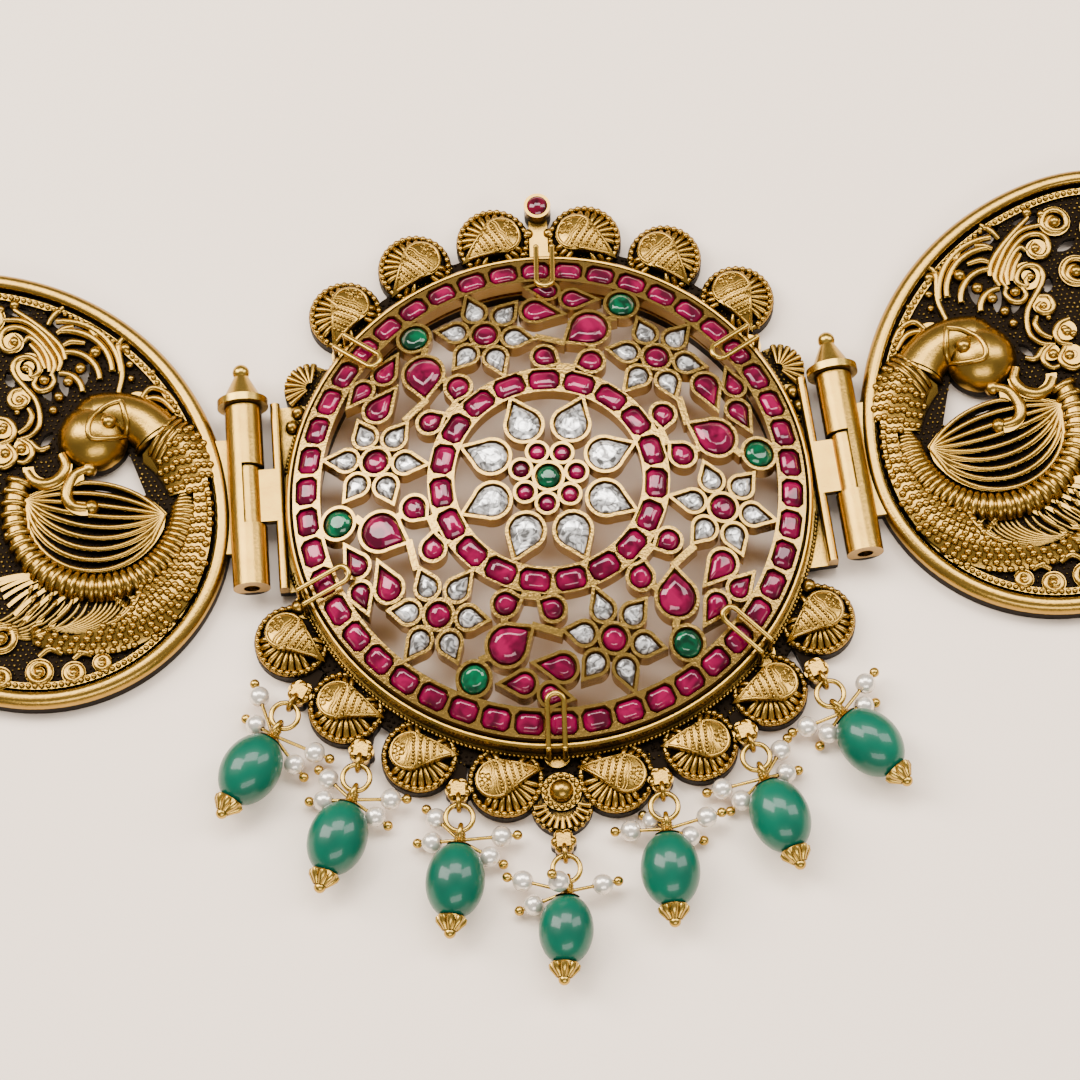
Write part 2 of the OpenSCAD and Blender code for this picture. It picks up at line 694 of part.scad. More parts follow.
// Peacock
head_at = [-0.423, 0.214] * motif;
head_r = 0.175 * motif;
neck_at = [-0.494, 0.049] * motif;
neck_bend = 0.271 * motif;
neck_r = 0.118 * motif;
garland_at = [-0.440, -0.137] * motif;
garland_r = 0.397 * motif;
garland_wire = 0.052 * motif;
wing_at = [-0.419, -0.144] * motif;
wing_half = 0.331 * motif;
feathers_at = [-0.300, -0.429] * motif;
feathers_r = 0.337 * motif;

// Pierced gaps: centre out, centre up, half length, half width, turn
GAPS = [
    [-0.60, 0.71, 0.115, 0.036, 52], [-0.40, 0.83, 0.120, 0.042, 33],
    [-0.17, 0.895, 0.070, 0.030, 14], [-0.45, 0.575, 0.080, 0.026, 103],
    [-0.345, 0.545, 0.090, 0.026, 80], [-0.255, 0.490, 0.060, 0.024, 66],
    [-0.090, 0.545, 0.045, 0.024, 70], [-0.23, 0.245, 0.050, 0.022, -50],
    [0.02, 0.72, 0.055, 0.024, 30], [0.22, 0.60, 0.050, 0.024, -35],
    [0.12, 0.33, 0.050, 0.024, 60], [0.36, 0.80, 0.075, 0.026, -24],
    [0.58, 0.66, 0.075, 0.026, -42], [0.78, 0.40, 0.075, 0.026, -64],
    [0.88, 0.12, 0.075, 0.026, -82], [0.86, -0.18, 0.075, 0.026, -102],
    [0.50, 0.28, 0.055, 0.024, -50], [0.53, -0.03, 0.055, 0.024, -80],
    [0.20, 0.08, 0.050, 0.022, 20], [0.72, -0.46, 0.070, 0.026, -122],
    [0.34, -0.28, 0.050, 0.022, -60]];

module leaf(half_l, half_w) {
    r = (half_l * half_l + half_w * half_w) / (2 * half_w);
    intersection() {
        translate([0, r - half_w]) circle(r = r);
        translate([0, half_w - r]) circle(r = r);
    }
}

module plate_gaps() {
    for (g = GAPS) translate(stretched([g[0], g[1]])) rotate(g[4])
        leaf(g[2] * motif, g[3] * motif);
    difference() {
        polygon([[-0.57, 0.17], [-0.655, -0.09], [-0.45, -0.052], [-0.325, -0.018],
            [-0.34, 0.05]] * motif);
        translate(head_at) circle(r = 0.95 * head_r);
    }
}

// Curls of the tail: centre out, centre up and outer radius
CURLS = [
    [-0.13, 0.72, 0.051], [-0.19, 0.60, 0.070], [-0.13, 0.44, 0.047], [-0.03, 0.29, 0.050],
    [-0.115, 0.20, 0.042], [-0.01, 0.165, 0.050],
    [0.05, 0.57, 0.080], [0.21, 0.43, 0.085], [0.26, 0.22, 0.075],
    [-0.03, 0.84, 0.075], [0.18, 0.76, 0.085], [0.38, 0.60, 0.095], [0.42, 0.41, 0.075],
    [0.60, 0.46, 0.085], [0.65, 0.25, 0.085], [0.40, 0.09, 0.080], [0.68, 0.05, 0.085],
    [0.28, -0.10, 0.080], [0.68, -0.16, 0.085], [0.48, -0.19, 0.080], [0.58, -0.37, 0.085],
    [0.20, -0.30, 0.075], [0.38, -0.45, 0.075], [0.50, -0.58, 0.080], [0.22, -0.54, 0.075],
    [0.32, -0.72, 0.080], [0.10, -0.74, 0.075], [0.13, -0.93, 0.055], [-0.06, -0.90, 0.065],
    [-0.22, -0.90, 0.055], [-0.36, -0.85, 0.045], [-0.69, 0.42, 0.060]];
curl_wall = 0.028;

module curls() {
    for (c = CURLS) translate(stretched([c[0], c[1]])) {
        band((c[2] - curl_wall) * motif, c[2] * motif);
        circle(r = 0.38 * c[2] * motif);
    }
}

// Plumes that rise from the head's crest: bend's centre out and up, and its radius
PLUMES = [[-0.277, 0.528, 0.286], [-0.300, 0.540, 0.222], [-0.311, 0.503, 0.151],
    [-0.277, 0.445, 0.103]];
plume_half = 0.014;
module plumes() {
    for (p = PLUMES) translate([p[0], p[1]] * motif) intersection() {
        band((p[2] - plume_half) * motif, (p[2] + plume_half) * motif);
        rotate(90) square(motif);
    }
}

// The bird's body: a domed crescent between the rim, the garland and the feathers
module body_outline() {
    difference() {
        intersection() {
            oval(panel_rim + 0.7);
            union() {
                translate([-0.380, -0.137] * motif) circle(r = 0.614 * motif);
                translate([-0.394, -0.309] * motif) circle(r = 0.549 * motif);
            }
        }
        translate(garland_at) intersection() {
            circle(r = garland_r + 0.8 * garland_wire);
            translate([-2, -4 + 0.034] * motif) square(4 * motif);
        }
        translate(feathers_at) circle(r = feathers_r);
        translate([-0.648, -0.105] * motif) square(4 * motif);
        rotate(48) translate([-0.354, -2] * motif) square(4 * motif);
        translate([-0.11, -2] * motif) square(4 * motif);
    }
}

module body_relief() {
    hump = 0.23 * motif;
    intersection() {
        translate([0, 0, plate_top - 0.2]) linear_extrude(4) body_outline();
        translate([-0.414 * motif, -0.200 * motif, plate_top + 2.2 - hump]) rotate_extrude()
            translate([0.511 * motif, 0]) circle(r = hump);
    }
}

// Feathers under the garland, as ribs that sweep down and outwards
module feathers_relief() {
    linear_extrude(plate_top + 0.7) intersection() {
        translate(feathers_at) circle(r = feathers_r);
        difference() {
            for (k = [0:8]) translate([-0.70 + 0.075 * k, -1.05] * motif)
                band(0.600 * motif, 0.618 * motif);
            translate(garland_at) circle(r = garland_r + 0.8 * garland_wire);
        }
    }
}

module neck_relief() {
    translate([neck_at.x, neck_at.y, plate_top - 0.2]) {
        rotate(78) rotate_extrude(angle = 74) translate([neck_bend, 0]) circle(r = neck_r);
        for (a = [146, 151]) rotate(a) rotate_extrude(angle = 3)
            translate([neck_bend, 0]) circle(r = 1.1 * neck_r);
    }
}

module head_relief() {
    translate([head_at.x, head_at.y, plate_top + 0.4 - head_r * 0.25]) sphere(r = head_r);
    translate([head_at.x - 0.071 * motif, head_at.y + 0.043 * motif,
        plate_top + 0.62 * head_r]) sphere(r = 0.033 * motif);
}

module beak_relief() {
    linear_extrude(plate_top + 1.9) {
        translate([-0.209, 0.075] * motif) intersection() {
            band(0.065 * motif, 0.115 * motif);
            translate([-motif, -motif]) square([2 * motif, motif]);
        }
        translate([-0.380, -0.074] * motif) rotate(-4) intersection() {
            band(0.065 * motif, 0.112 * motif);
            translate([0, -motif]) square([motif, 2 * motif]);
        }
    }
}

// Ribs of the wing run between its two points on arcs of different depth
module wing_relief() {
    translate(wing_at) rotate(11) linear_extrude(plate_top + 1.2)
        for (k = [-6:2]) {
            depth = (0.054 * k + 0.014) * motif;
            r = (wing_half * wing_half + depth * depth) / (2 * abs(depth));
            translate([0, depth < 0 ? depth + r : depth - r]) intersection() {
                band(r - 0.35, r + 0.35);
                translate([-wing_half, depth < 0 ? -r - 1 : r - abs(depth) - 0.01])
                    square([2 * wing_half, abs(depth) + 1.01]);
            }
        }
}

module garland() {
    translate([garland_at.x, garland_at.y, plate_top + 0.4]) rotate(186)
        rotate_extrude(angle = 198) translate([garland_r, 0]) circle(r = garland_wire);
}

lug_r = 3.2;
lug_wire = 0.9;
lug_reach = 36;
function lug_at(hand) = [panel_x + lug_reach + lug_r - 0.3, rise(hand)];
bracket_l = 19.7;
bracket_y = 0.9;
chain_z = (link_w / 2 - link_wire) * sin(45) + link_wire + 0.02;

module panel_plate() {
    linear_extrude(panel_h - 1) oval_band(0, panel_rim);
    linear_extrude(panel_h - 0.4) oval_band(0.4, panel_rim);
    linear_extrude(panel_h) oval_band(0.9, panel_rim - 0.4);
    translate([0, 0, plate_z]) linear_extrude(plate_t) difference() {
        oval(panel_rim - 0.3);
        plate_gaps();
    }
    linear_extrude(plate_top + relief) difference() {
        union() {
            intersection() {
                union() {
                    curls();
                    plumes();
                }
                oval(panel_rim + 0.3);
            }
            oval_band(bead_inset - bead_w / 2, bead_inset + bead_w / 2);
        }
        plate_gaps();
    }
}

module peacock() {
    intersection() {
        union() {
            body_relief();
            feathers_relief();
            neck_relief();
            head_relief();
            beak_relief();
            wing_relief();
            garland();
        }
        translate([0, 0, plate_z]) linear_extrude(20) oval(panel_rim + 0.2);
    }
}

module panel(hand) {
    difference() {
        union() {
            translate([panel_x, rise(hand), 0]) {
                panel_plate();
                peacock();
            }
            difference() {
                tube_y(barrel_r, barrel_l);
                tube_y(knuckle_r + 0.3, third);
                translate([-2 * barrel_r + 0.5, -third / 2, 0])
                    cube([2 * barrel_r, third, 3 * barrel_r]);
            }
            difference() {
                translate([knuckle_r + 0.45, bracket_y - bracket_l / 2, 1.4])
                    cube([7, bracket_l, 2]);
                translate([panel_x, rise(hand), 0]) linear_extrude(20) oval(1.2);
            }
            translate([lug_at(hand).x, lug_at(hand).y, chain_z]) rotate_extrude()
                translate([lug_r, 0]) circle(r = lug_wire);
        }
        tube_y(bore_r, barrel_l + 2);
    }
}

module left_panel() { color(ANTIQUE) on_hinge(-1) panel(-1); }
module right_panel() { color(ANTIQUE) on_hinge(1) panel(1); }

// Hinge pin with its fluted cap and ball
module hinge_pin() {
    top = barrel_l / 2;
    translate([0, 0, hinge_z]) rotate([-90, 0, 0]) {
        translate([0, 0, -top + 1.5]) cylinder(r = pin_r, h = barrel_l);
        translate([0, 0, top + 0.3]) {
            cylinder(r = pin_cap_r, h = 1.2);
            cylinder(r1 = pin_cap_r - 0.2, r2 = 1.2, h = pin_cap_l);
            translate([0, 0, pin_cap_l + 0.8]) sphere(r = 1.4);
        }
    }
}

module left_hinge_pin() { color(GOLD) on_hinge(-1) hinge_pin(); }
module right_hinge_pin() { color(GOLD) on_hinge(1) hinge_pin(); }

// Chain: a cubic curve from the panel's lug to the middle of the back
function bezier(p, t) = let (u = 1 - t)
    u * u * u * p[0] + 3 * u * u * t * p[1] + 3 * u * t * t * p[2] + t * t * t * p[3];
function from_hinge(p, hand) = [hand * hinge_x, hinge_y]
    + turn([hand * p.x, p.y], hand < 0 ? left_lean : right_lean);
first_hang = 0.4;
function chain_curve(hand) = let (start = from_hinge(lug_at(hand) + [first_hang, 0], hand))
    [start, start + [hand * 42, 48], [hand * 104, chain_back],
     [hand * clasp_reach(hand), chain_back]];
CURVE_STEPS = 160;
function running(points, i = 0, total = 0) = i >= len(points) ? [] :
    let (s = total + (i > 0 ? norm(points[i] - points[i - 1]) : 0))
    concat([s], running(points, i + 1, s));

link_bite = 0.15;
end_ring_r = 4.2;
hook_r = 3.4;
hook_bar = 2;
clasp_bite = 0.6;
function clasp_reach(hand) = clasp_gap / 2 - clasp_bite
    + (hand < 0 ? 2 * end_ring_r : 4 * hook_r + hook_bar);
function chain_points(hand) =
    let (curve = chain_curve(hand),
         points = [for (k = [0:CURVE_STEPS]) bezier(curve, k / CURVE_STEPS)],
         lengths = running(points),
         total = lengths[CURVE_STEPS],
         xs = [for (k = [0:CURVE_STEPS]) [lengths[k], points[k].x]],
         ys = [for (k = [0:CURVE_STEPS]) [lengths[k], points[k].y]])
    [for (i = [0:link_count]) let (s = total * i / link_count) [lookup(s, xs), lookup(s, ys)]];

// One link of round wire between two points where it meets its neighbours
module link(from, to, roll) {
    arc_r = link_w / 2 - link_wire;
    half = norm(to - from) / 2 + link_bite + link_wire - arc_r;
    middle = (from + to) / 2;
    translate([middle.x, middle.y, chain_z]) rotate(heading(from, to)) rotate([roll, 0, 0])
        for (s = [0, 180]) rotate(s) {
            translate([half, 0, 0]) rotate(-90) rotate_extrude(angle = 180)
                translate([arc_r, 0]) circle(r = link_wire);
            translate([-half - 0.2, arc_r, 0]) rotate([0, 90, 0])
                cylinder(r = straight * link_wire, h = 2 * half + 0.4);
        }
}

module chain(hand) {
    points = chain_points(hand);
    for (i = [0:link_count - 1]) link(points[i], points[i + 1], i % 2 == 0 ? 45 : -45);
}

// End ring on the left half, plain hook on the right half
module left_chain() {
    end = chain_points(-1)[link_count];
    color(GOLD) {
        chain(-1);
        translate([end.x + end_ring_r - link_wire - clasp_bite, end.y, chain_z])
            rotate_extrude() translate([end_ring_r, 0]) circle(r = link_wire);
    }
}

module right_chain() {
    end = chain_points(1)[link_count];
    color(GOLD) {
        chain(1);
        translate([end.x - hook_r + link_wire + clasp_bite, end.y, chain_z]) {
            rotate_extrude() translate([hook_r, 0]) circle(r = link_wire);
            translate([-hook_r - hook_bar - 0.3, 0, 0]) rotate([0, 90, 0])
                cylinder(r = 0.8 * link_wire, h = hook_bar + 0.6);
            translate([-2 * hook_r - hook_bar, 0, 0]) rotate(-35) rotate_extrude(angle = 250)
                translate([hook_r, 0]) circle(r = link_wire);
        }
    }
}

medallion_frame();
kundan_disc();
outer_rubies();
inner_rubies();
petal_stones();
flower_rubies();
emeralds();
large_pears();
small_pears();
centre_petals();
centre_rubies();
centre_emerald();
wire_clips();
stem_cabochon();
pearls();
jump_rings();
for (i = DROPS) {
    green_bead(i);
    drop_wire(i);
}
left_panel();
right_panel();
left_hinge_pin();
right_hinge_pin();
left_chain();
right_chain();
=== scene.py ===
import math
import random

import bmesh
import bpy
from mathutils import Matrix, Vector
from mathutils.bvhtree import BVHTree


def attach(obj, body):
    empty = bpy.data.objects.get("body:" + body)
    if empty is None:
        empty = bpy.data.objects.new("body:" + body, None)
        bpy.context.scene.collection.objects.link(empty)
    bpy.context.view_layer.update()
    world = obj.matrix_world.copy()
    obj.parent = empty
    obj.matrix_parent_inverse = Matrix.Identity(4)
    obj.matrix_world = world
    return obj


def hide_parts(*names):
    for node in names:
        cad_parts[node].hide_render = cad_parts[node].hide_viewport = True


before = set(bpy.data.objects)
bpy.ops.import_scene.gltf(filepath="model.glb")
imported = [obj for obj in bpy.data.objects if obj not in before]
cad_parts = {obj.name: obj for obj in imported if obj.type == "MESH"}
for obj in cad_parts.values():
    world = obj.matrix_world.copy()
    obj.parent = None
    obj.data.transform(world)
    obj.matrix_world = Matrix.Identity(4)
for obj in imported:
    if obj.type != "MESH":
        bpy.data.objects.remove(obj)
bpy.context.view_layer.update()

# Camera, cloth and light: the belt lies on pale cloth and is seen from above and a little
# below its middle, so that its chain runs out of the frame at the top.
MM = 0.001
CAMERA_AT = Vector((-4.161, -232.387, 605.611)) * MM
CAMERA_TURN = [math.radians(a) for a in (20.5463, 0.9454, -3.0997)]
camera_data = bpy.data.cameras.new("camera")
camera_data.sensor_width = 36
camera_data.lens = 133.45
camera_data.clip_start = 0.01
camera_data.clip_end = 20
camera = bpy.data.objects.new("camera", camera_data)
camera.location = CAMERA_AT
camera.rotation_euler = CAMERA_TURN
bpy.context.scene.collection.objects.link(camera)
bpy.context.scene.camera = camera


def soft_box(name, place, size, power, colour):
    """A square studio light that looks at the middle of the belt."""
    data = bpy.data.lights.new(name, "AREA")
    data.shape = "RECTANGLE"
    data.size, data.size_y = size
    data.energy = power
    data.color = colour
    lamp = bpy.data.objects.new(name, data)
    lamp.location = place
    lamp.rotation_euler = (-Vector(place)).to_track_quat("-Z", "Y").to_euler()
    bpy.context.scene.collection.objects.link(lamp)


soft_box("window_left", (-0.75, 0.35, 0.85), (0.5, 0.9), 22, (1.0, 0.95, 0.89))
soft_box("window_right", (0.8, 0.25, 0.8), (0.4, 0.8), 9, (1.0, 0.97, 0.94))
soft_box("overhead", (0.05, 0.5, 1.1), (0.9, 0.5), 18, (1.0, 0.96, 0.92))
soft_box("front_fill", (0.1, -0.9, 0.7), (0.9, 0.35), 7, (1.0, 0.95, 0.9))

world = bpy.data.worlds.new("studio")
world.use_nodes = True
world.node_tree.nodes["Background"].inputs["Color"].default_value = (0.95, 0.91, 0.87, 1)
world.node_tree.nodes["Background"].inputs["Strength"].default_value = 0.35
bpy.context.scene.world = world


def wire_up(tree, *links):
    """Joins pairs of (node, socket name) in a node tree."""
    for (source, output), (target, socket) in links:
        tree.links.new(source.outputs[output], target.inputs[socket])


def new_material(name):
    """An empty node material with its Principled shader."""
    material = bpy.data.materials.new(name)
    material.use_nodes = True
    return material, material.node_tree, material.node_tree.nodes["Principled BSDF"]


def noise_on(tree, scale, detail=3, distortion=0):
    """Noise in object space, its size given as features to the millimetre."""
    place = tree.nodes.new("ShaderNodeTexCoord")
    noise = tree.nodes.new("ShaderNodeTexNoise")
    noise.inputs["Scale"].default_value = scale / MM
    noise.inputs["Detail"].default_value = detail
    noise.inputs["Distortion"].default_value = distortion
    wire_up(tree, ((place, "Object"), (noise, "Vector")))
    return noise


def ramp_between(tree, stops):
    """A colour ramp from a list of (place, colour)."""
    ramp = tree.nodes.new("ShaderNodeValToRGB")
    stretch = ramp.color_ramp
    while len(stretch.elements) < len(stops):
        stretch.elements.new(0.5)
    for element, (place, colour) in zip(stretch.elements, stops):
        element.position = place
        element.color = (*colour, 1)
    return ramp


CLOTH_SIZE = 3.0
cloth_stuff, tree, shader = new_material("pale_cloth")
weave = noise_on(tree, 0.006, detail=2)
shades = ramp_between(tree, [(0.3, (0.95, 0.79, 0.65)), (0.7, (0.98, 0.83, 0.69))])
wire_up(tree, ((weave, "Fac"), (shades, "Fac")), ((shades, "Color"), (shader, "Base Color")))
shader.inputs["Roughness"].default_value = 0.85
shape = bmesh.new()
bmesh.ops.create_grid(shape, x_segments=2, y_segments=2, size=CLOTH_SIZE)
bmesh.ops.translate(shape, vec=(0, 0, -0.0002), verts=shape.verts)
cloth_mesh = bpy.data.meshes.new("cloth")
shape.to_mesh(cloth_mesh)
shape.free()
cloth_mesh.materials.append(cloth_stuff)
cloth = bpy.data.objects.new("cloth", cloth_mesh)
bpy.context.scene.collection.objects.link(cloth)

# Cast frame of the medallion: brass plated in antique gold. It is rubbed bright on its high
# points, and black in its recesses, on its ground and on its steep sides.
# This group turns the metal to its dark colour where ambient occlusion finds metal near, below the
# ground height and on steep sides. On the antique casting that dark is its black patina. On the
# wire, chain and disc golds it is painted shade.
cast_group = bpy.data.node_groups.new("Antique patina and painted shade", "ShaderNodeTree")
for label, kind in (("Open", "NodeSocketFloat"), ("Patina and shade", "NodeSocketColor"),
                    ("Bright", "NodeSocketColor"), ("Grain", "NodeSocketFloat"),
                    ("Ground", "NodeSocketFloat")):
    cast_group.interface.new_socket(label, in_out="INPUT", socket_type=kind)
for label, kind in (("Color", "NodeSocketColor"), ("Roughness", "NodeSocketFloat"),
                    ("Metal", "NodeSocketFloat"), ("Height", "NodeSocketFloat")):
    cast_group.interface.new_socket(label, in_out="OUTPUT", socket_type=kind)
group_in = cast_group.nodes.new("NodeGroupInput")
group_out = cast_group.nodes.new("NodeGroupOutput")
fine = noise_on(cast_group, 2.2, detail=4)
blotch = noise_on(cast_group, 0.35, detail=2)
jitter = cast_group.nodes.new("ShaderNodeMath")
jitter.operation = "MULTIPLY_ADD"
jitter.inputs[1].default_value = 0.45
# Ambient occlusion darkens the hollows: patina on the antique casting, painted shade on the other
# golds.
open_and_worn = cast_group.nodes.new("ShaderNodeMath")
open_and_worn.operation = "ADD"
place = cast_group.nodes.new("ShaderNodeTexCoord")
upright = cast_group.nodes.new("ShaderNodeSeparateXYZ")
above = cast_group.nodes.new("ShaderNodeMath")
above.operation = "SUBTRACT"
raised = cast_group.nodes.new("ShaderNodeMapRange")
raised.inputs["From Max"].default_value = 0.7 * MM
raised.inputs["To Min"].default_value = -0.9
raised.inputs["To Max"].default_value = 0
facing = cast_group.nodes.new("ShaderNodeSeparateXYZ")
# Steep sides go dark: patina on the antique casting, painted shade on the other golds.
steep = cast_group.nodes.new("ShaderNodeMapRange")
steep.inputs["From Max"].default_value = 0.45
steep.inputs["To Min"].default_value = -0.3
steep.inputs["To Max"].default_value = 0
shown = cast_group.nodes.new("ShaderNodeMath")
shown.operation = "ADD"
tops = cast_group.nodes.new("ShaderNodeMath")
tops.operation = "ADD"
rub_and_shade = cast_group.nodes.new("ShaderNodeMapRange")
rub_and_shade.interpolation_type = "SMOOTHSTEP"
rub_and_shade.inputs["From Min"].default_value = 0.94
rub_and_shade.inputs["From Max"].default_value = 1.26
tint = cast_group.nodes.new("ShaderNodeMix")
tint.data_type = "RGBA"
mottle = cast_group.nodes.new("ShaderNodeMix")
mottle.data_type = "RGBA"
mottle.blend_type = "MULTIPLY"
mottle.inputs["Factor"].default_value = 0.35
gloss = cast_group.nodes.new("ShaderNodeMapRange")
gloss.inputs["To Min"].default_value = 0.62
gloss.inputs["To Max"].default_value = 0.27
metal = cast_group.nodes.new("ShaderNodeMapRange")
metal.inputs["To Min"].default_value = 0.95
lumps = cast_group.nodes.new("ShaderNodeMath")
lumps.operation = "MULTIPLY"
wire_up(
    cast_group,
    ((fine, "Fac"), (jitter, 0)),
    ((group_in, "Open"), (open_and_worn, 0)),
    ((fine, "Fac"), (lumps, 0)),
    ((group_in, "Grain"), (lumps, 1)),
    ((jitter, "Value"), (open_and_worn, 1)),
    ((place, "Object"), (upright, "Vector")),
    ((upright, "Z"), (above, 0)),
    ((group_in, "Ground"), (above, 1)),
    ((above, "Value"), (raised, "Value")),
    ((open_and_worn, "Value"), (shown, 0)),
    ((raised, "Result"), (shown, 1)),
    ((place, "Normal"), (facing, "Vector")),
    ((facing, "Z"), (steep, "Value")),
    ((shown, "Value"), (tops, 0)),
    ((steep, "Result"), (tops, 1)),
    ((tops, "Value"), (rub_and_shade, "Value")),
    ((rub_and_shade, "Result"), (tint, "Factor")),
    ((rub_and_shade, "Result"), (gloss, "Value")),
    ((rub_and_shade, "Result"), (metal, "Value")),
    ((gloss, "Result"), (group_out, "Roughness")),
    ((metal, "Result"), (group_out, "Metal")),
    ((lumps, "Value"), (group_out, "Height")),
)
# The Mix node has sockets of the same name for each kind of data, so these go by number.
cast_group.links.new(group_in.outputs["Patina and shade"], tint.inputs[6])
cast_group.links.new(group_in.outputs["Bright"], tint.inputs[7])
cast_group.links.new(tint.outputs[2], mottle.inputs[6])
cast_group.links.new(blotch.outputs["Fac"], mottle.inputs[7])
cast_group.links.new(mottle.outputs[2], group_out.inputs["Color"])


def rubbed_and_shaded_gold(name, patina_and_shade, bright, reach, grain, ground=-9):
    """Gold that stays dark below ground, on steep sides, and where metal within reach shelters it,
    in mm: patina on the antique casting, painted shade on the other golds.
    """
    material, tree, shader = new_material(name)
    # Ambient occlusion sends hollows to the dark colour: patina on the antique casting, painted
    # shade on the other golds.
    shelter = tree.nodes.new("ShaderNodeAmbientOcclusion")
    shelter.samples = 6
    shelter.inputs["Distance"].default_value = reach * MM
    rub = tree.nodes.new("ShaderNodeGroup")
    rub.node_tree = cast_group
    rub.inputs["Patina and shade"].default_value = (*patina_and_shade, 1)
    rub.inputs["Bright"].default_value = (*bright, 1)
    rub.inputs["Grain"].default_value = grain
    rub.inputs["Ground"].default_value = ground * MM
    bump = tree.nodes.new("ShaderNodeBump")
    bump.inputs["Distance"].default_value = 0.1 * MM
    bump.inputs["Strength"].default_value = 0.6
    wire_up(
        tree,
        ((shelter, "AO"), (rub, "Open")),
        ((rub, "Color"), (shader, "Base Color")),
        ((rub, "Roughness"), (shader, "Roughness")),
        ((rub, "Metal"), (shader, "Metallic")),
        ((rub, "Height"), (bump, "Height")),
        ((bump, "Normal"), (shader, "Normal")),
    )
    return material


antique_gold = rubbed_and_shaded_gold(
    "antique_gold", patina_and_shade=(0.010, 0.006, 0.003), bright=(0.45, 0.265, 0.048), reach=2.2,
    grain=0.5, ground=2.0,
)


def give(material, *names):
    """Puts one material on CAD nodes, which keep their own shape."""
    for name in names:
        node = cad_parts[name]
        node.data.materials.clear()
        node.data.materials.append(material)


give(antique_gold, "medallion_frame", "left_panel", "right_panel")

# Chasing of the cast lobes: in each a mango with rings, waves and rows of grain, and round
# it a beaded border. The metal between is left granulated and black.
def ball_mesh(segments, rings):
    """A small round mesh to stamp many times."""
    shape = bmesh.new()
    bmesh.ops.create_uvsphere(shape, u_segments=segments, v_segments=rings, radius=1)
    mesh = bpy.data.meshes.new("ball")
    shape.to_mesh(mesh)
    shape.free()
    return mesh


BALL = ball_mesh(10, 6)
GRAIN = ball_mesh(6, 4)


def add_ball(shape, centre, radius, flat=1.0, lean=(0, 0, 1), mesh=BALL):
    """A ball, or with flat below 1 a low dome that faces along lean."""
    turn = Vector(lean).to_track_quat("Z", "Y").to_matrix().to_4x4()
    size = Matrix.Diagonal((radius, radius, radius * flat, 1))
    copy = mesh.copy()
    copy.transform(Matrix.Translation(centre) @ turn @ size)
    shape.from_mesh(copy)
    bpy.data.meshes.remove(copy)


def add_wires(shape, paths, closed=False):
    """Round wires through lists of (point, radius)."""
    curve = bpy.data.curves.new("wires", "CURVE")
    curve.dimensions = "3D"
    curve.bevel_depth = 1
    curve.bevel_resolution = 2
    curve.use_fill_caps = True
    for path in paths:
        spline = curve.splines.new("POLY")
        spline.points.add(len(path) - 1)
        spline.use_cyclic_u = closed
        for knot, (place, radius) in zip(spline.points, path):
            knot.co = (*place, 1)
            knot.radius = radius
    holder = bpy.data.objects.new("wires", curve)
    mesh = bpy.data.meshes.new_from_object(holder)
    shape.from_mesh(mesh)
    bpy.data.objects.remove(holder)
    bpy.data.curves.remove(curve)
    bpy.data.meshes.remove(mesh)


def polar(radius, degrees, height=0.0):
    """A point at a radius and an angle."""
    angle = math.radians(degrees)
    return Vector((radius * math.cos(angle), radius * math.sin(angle), height))


def spun(degrees):
    """A turn about the upright."""
    return Matrix.Rotation(math.radians(degrees), 4, "Z")


def metal_of(name, place):
    """Search tree of a CAD node's surface, in millimetres of a frame laid at a matrix."""
    shape = bmesh.new()
    shape.from_mesh(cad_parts[name].data)
    bmesh.ops.transform(
        shape, matrix=place.inverted() @ Matrix.Scale(1 / MM, 4), verts=shape.verts
    )
    tree = BVHTree.FromBMesh(shape)
    shape.free()
    return tree


def top_of(tree, x, y):
    """Height and slope of the metal's top at a place, or a height of 0 over a gap."""
    spot, slope, _, _ = tree.ray_cast(Vector((x, y, 30)), Vector((0, 0, -1)))
    return (spot.z, slope) if spot else (0.0, Vector((0, 0, 1)))


def metal_piece(name, shape, material, body):
    """Makes an added piece of metal from a shape in metres."""
    mesh = bpy.data.meshes.new(name)
    shape.to_mesh(mesh)
    shape.free()
    mesh.materials.append(material)
    mesh.shade_smooth()
    mesh.set_sharp_from_angle(angle=math.radians(50))
    piece = bpy.data.objects.new(name, mesh)
    bpy.context.scene.collection.objects.link(piece)
    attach(piece, body)
    return piece


# Angles of the lobes from the top and from the bottom, and the mango laid in each.
LOBE_ORBIT, RING_EDGE = 47.2, 42.9
FRAME_TURN = -0.9
TOP_LOBES = [9.2, 25.9, 43]
BOTTOM_LOBES = [10.6, 28, 45.4, 62.7]
LOBE_FLOOR, BORDER_R, RIB_END = 2.6, 5.5, 4.8
MANGO = Matrix.Translation((-1.53, 0.37, 0)) @ spun(-24)
MANGO_R, MANGO_TIP = 3.23, 7.93
RINGS = [(-1.9, 1.2), (-2.3, 0.1), (-1.9, -1.0), (-1.2, 0.4), (-1.1, -0.6)]


def mango_half(along):
    """Half width of the mango, at a distance from the middle of its round end."""
    touch = MANGO_R**2 / MANGO_TIP
    if along < touch:
        return math.sqrt(max(MANGO_R**2 - along**2, 0))
    return (MANGO_TIP - along) * MANGO_R / math.sqrt(MANGO_TIP**2 - MANGO_R**2)


